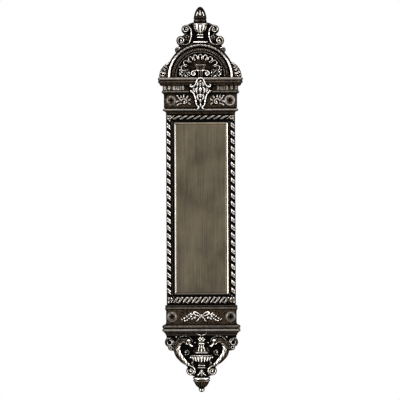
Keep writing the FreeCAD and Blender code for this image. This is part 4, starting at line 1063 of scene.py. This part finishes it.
def makeScrews():
    s = screwSizes
    turns, rings = screwRings()
    points, faces, slots, rims = [], [], [], []
    n = s["segments"]
    for (sx, sz), (angle, headDarkening) in s["turns"].items():
        first = len(points)
        x0, z0 = sx * casting["holeX"], sz * casting["holeZ"]
        spin = turns + math.radians(angle)
        for r, h, slot, rim in rings:
            points += [(x0 + a * math.cos(t), -b, z0 + a * math.sin(t)) for a, b, t in zip(r, h, spin)]
            slots += list(np.maximum(slot, headDarkening * (1 - rim)))
            rims += list(rim)
        last = len(points) - n
        for a in range(first, last, n):
            for i in range(n):
                j = (i + 1) % n
                faces.append([a + i, a + n + i, a + n + j, a + j])
        faces += [[first + i for i in range(n)], [last + i for i in reversed(range(n))]]
    print("screws:", len(points), "points")
    return meshObject("fixingScrews", points, faces, {"slot": slots, "rim": rims})


# A wired socket with maths on it
class Wire:
    def __init__(self, board, socket):
        self.board, self.socket = board, socket

    def maths(self, operation, a, b):
        return self.board.node("ShaderNodeMath", {"operation": operation}, {0: a, 1: b})

    def __add__(self, other):
        return self.maths("ADD", self, other)

    def __sub__(self, other):
        return self.maths("SUBTRACT", self, other)

    def __rsub__(self, other):
        return self.maths("SUBTRACT", other, self)

    def __mul__(self, other):
        return self.maths("MULTIPLY", self, other)

    __radd__, __rmul__ = __add__, __mul__

    def clamped(self):
        return self.board.node("ShaderNodeClamp", {}, {"Value": self})


class Board:
    def __init__(self, tree):
        self.tree = tree
        tree.nodes.clear()

    def node(self, kind, settings, sockets, out=0):
        made = self.tree.nodes.new(kind)
        for name, value in settings.items():
            setattr(made, name, value)
        for name, value in sockets.items():
            if isinstance(value, Wire):
                self.tree.links.new(value.socket, made.inputs[name])
            else:
                made.inputs[name].default_value = value
        return Wire(self, made.outputs[out]) if made.outputs else None

    def blend(self, share, a, b):
        return self.node("ShaderNodeMix", {"data_type": "RGBA"}, {0: share, 6: a, 7: b}, 2)

    def noise(self, place, scale, detail=3.0):
        return self.node("ShaderNodeTexNoise", {}, {"Vector": place, "Scale": scale, "Detail": detail})

    def stretched(self, place, amounts):
        return self.node("ShaderNodeVectorMath", {"operation": "MULTIPLY"}, {0: place, 1: amounts})

    def attribute(self, name):
        return self.node("ShaderNodeAttribute", {"attribute_name": name}, {}, 2)


# The pale metal colour is metal bright from rubbing, and also the colour of the painted highlights
finish = {
    "recess": (0.0016, 0.0011, 0.0008, 1), "fieldDark": (0.005, 0.003, 0.0018, 1),
    "fieldPale": (0.075, 0.052, 0.033, 1), "rubbedAndHighlight": (0.93, 0.88, 0.81, 1),
    "edge": (0.42, 0.35, 0.27, 1),
    "panelDark": (0.045, 0.038, 0.027, 1), "panelPale": (0.165, 0.137, 0.094, 1),
}


def shaded(name):
    material = bpy.data.materials.new(name)
    material.use_nodes = True
    board = Board(material.node_tree)
    place = board.node("ShaderNodeTexCoord", {}, {}, 3)
    return material, board, place


# Bare metal under dull oxide, the oxide showing by its share, which on the casting also carries painted
# shade
def coated(board, colour, rough, dark, bump):
    bare = {"Base Color": colour, "Metallic": 1.0, "Roughness": rough, "Specular Tint": finish["edge"]}
    dull = {"Base Color": finish["recess"], "Roughness": 0.85, "Specular IOR Level": 0.03}
    metal, oxide = (board.node("ShaderNodeBsdfPrincipled", {}, {**look, "Normal": bump})
                    for look in (bare, dull))
    mixed = board.node("ShaderNodeMixShader", {}, {0: dark, 1: metal, 2: oxide})
    board.node("ShaderNodeOutputMaterial", {}, {"Surface": mixed})


# Darkened casting: oxide in the hollows with painted shade on the panel's bevel, along the outline and in
# the mouldings' lines, metal bright from rubbing with painted highlights on the ridges and edges, upright
# brushing on the panel
def castFinish():
    material, board, place = shaded("darkenedCasting")
    proud, deep, flat = (board.attribute(name) for name in ("proud", "deep", "flat"))
    mottle = board.noise(place, 260.0, 4.0)
    grit = board.noise(place, 1500.0, 2.0)
    brush = board.noise(board.stretched(place, (2400.0, 1.0, 22.0)), 1.0, 3.0)
    sweep = board.noise(board.stretched(place, (420.0, 1.0, 9.0)), 1.0, 2.0)
    cloud = board.noise(board.stretched(place, (52.0, 1.0, 30.0)), 1.0, 3.0)
    wornAndHighlit = (proud * (mottle * 0.9 + 0.55)).clamped() * (1 - flat)
    dark = (deep * 1.15 + (mottle - 0.5) * 0.3).clamped() * (1 - flat)
    grain = ((board.noise(place, 620.0, 2.0) - 0.5) * 2.8 + (mottle - 0.5) * 0.8 + 0.42).clamped()
    cast = board.blend(wornAndHighlit, board.blend(grain, finish["fieldDark"], finish["fieldPale"]), finish["rubbedAndHighlight"])
    streak = (brush - 0.5) * 1.3 + (sweep - 0.5) * 0.3 + (grit - 0.5) * 0.7 + (cloud - 0.5) * 1.6 + 0.55
    brushed = board.blend(streak.clamped(), finish["panelDark"], finish["panelPale"])
    colour = board.blend(flat, cast, brushed)
    rough = 0.42 - wornAndHighlit * 0.14 + (grit - 0.5) * 0.1
    bump = board.node("ShaderNodeBump", {}, {"Strength": 0.25, "Distance": 0.0002,
                                             "Height": grit * (1 - flat) + brush * flat * 0.5})
    coated(board, colour, rough, dark, bump)
    return material


def screwFinish():
    material, board, place = shaded("darkenedScrew")
    slot, rim = board.attribute("slot"), board.attribute("rim")
    mottle = board.noise(place, 500.0, 3.0)
    wornAndHighlit = (rim * 0.03 + (mottle - 0.5) * 0.25 + 0.045).clamped()
    field = board.blend(mottle, finish["fieldDark"], finish["fieldPale"])
    colour = board.blend(wornAndHighlit, field, finish["rubbedAndHighlight"])
    bump = board.node("ShaderNodeBump", {}, {"Strength": 0.2, "Distance": 0.0001, "Height": mottle})
    coated(board, colour, mottle * 0.2 + 0.28, slot, bump)
    return material


studio = {
    "floorZ": -0.222, "floorRadius": 0.28, "lens": 150.0, "sensor": 36.0, "frameWidth": 0.3814,
    "aimX": -0.00084, "aimZ": 0.00806, "roll": 0.24, "front": 0.8, "diffuse": 0.5,
    # Name, place, width, height and power
    "lamps": [("leftLamp", (-0.75, -0.45, 0.1), 0.5, 0.8, 10.0),
              ("rightLamp", (0.75, -0.45, 0.1), 0.5, 0.8, 8.0),
              ("topLamp", (0.0, -0.5, 0.85), 0.7, 0.5, 9.0)],
}


def makeStudio():
    s = studio
    material, board, place = shaded("paleFloor")
    far = board.node("ShaderNodeVectorMath", {"operation": "LENGTH"},
                     {0: board.stretched(place, (1.0, 1.0, 0.0))}, 1)
    fade = ((far - s["floorRadius"] * 0.6) * (1 / (s["floorRadius"] * 0.4))).clamped()
    plain = board.node("ShaderNodeBsdfDiffuse", {}, {"Color": (0.9, 0.9, 0.9, 1)})
    clear = board.node("ShaderNodeBsdfTransparent", {}, {})
    mixed = board.node("ShaderNodeMixShader", {}, {0: fade, 1: plain, 2: clear})
    board.node("ShaderNodeOutputMaterial", {}, {"Surface": mixed})
    bpy.ops.mesh.primitive_circle_add(vertices=96, radius=s["floorRadius"], fill_type="NGON",
                                      location=(0, 0, s["floorZ"]))
    floor = bpy.context.object
    floor.name = "paleFloor"
    floor.data.materials.append(material)
    world = bpy.data.worlds.new("paleStudio")
    bpy.context.scene.world = world
    world.use_nodes = True
    board = Board(world.node_tree)
    ray = board.node("ShaderNodeLightPath", {}, {})
    outputs = ray.socket.node.outputs
    camera, mirror, through = (Wire(board, outputs[n]) for n in
                               ("Is Camera Ray", "Is Glossy Ray", "Is Transmission Ray"))
    facing = board.node("ShaderNodeSeparateXYZ", {}, {0: board.node("ShaderNodeTexCoord", {}, {}, 0)}, 1)
    behind = (facing * 2.0 + 0.6).clamped()
    seen = behind * (1 - s["front"]) + s["front"]
    level = camera + (1 - camera) * ((mirror + through).clamped() * (seen - s["diffuse"]) + s["diffuse"])
    sky = board.node("ShaderNodeBackground", {}, {"Color": level, "Strength": 1.0})
    board.node("ShaderNodeOutputWorld", {}, {"Surface": sky})
    for name, spot, wide, tall, power in s["lamps"]:
        lamp = bpy.data.lights.new(name, "AREA")
        lamp.shape, lamp.size, lamp.size_y, lamp.energy = "RECTANGLE", wide, tall, power
        stand = bpy.data.objects.new(name, lamp)
        stand.location = spot
        stand.rotation_euler = (-Vector(spot)).to_track_quat("-Z", "Y").to_euler()
        bpy.context.collection.objects.link(stand)
    camera = bpy.data.objects.new("camera", bpy.data.cameras.new("camera"))
    camera.data.lens, camera.data.sensor_width = s["lens"], s["sensor"]
    distance = s["frameWidth"] * s["lens"] / s["sensor"]
    camera.location = (s["aimX"], -distance - casting["panelFront"] * mm, s["aimZ"])
    camera.rotation_euler = Euler((math.radians(90), math.radians(s["roll"]), 0))
    bpy.context.collection.objects.link(camera)
    bpy.context.scene.camera = camera
    bpy.context.scene.view_settings.view_transform = "Standard"
    print("studio ready, camera", round(distance, 3), "m away")


plate = makePlate()
plate.data.materials.append(castFinish())
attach(plate, "root")
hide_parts("finger_plate")

screws = makeScrews()
screws.data.materials.append(screwFinish())
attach(screws, "root")
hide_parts("fixing_screws")

makeStudio()
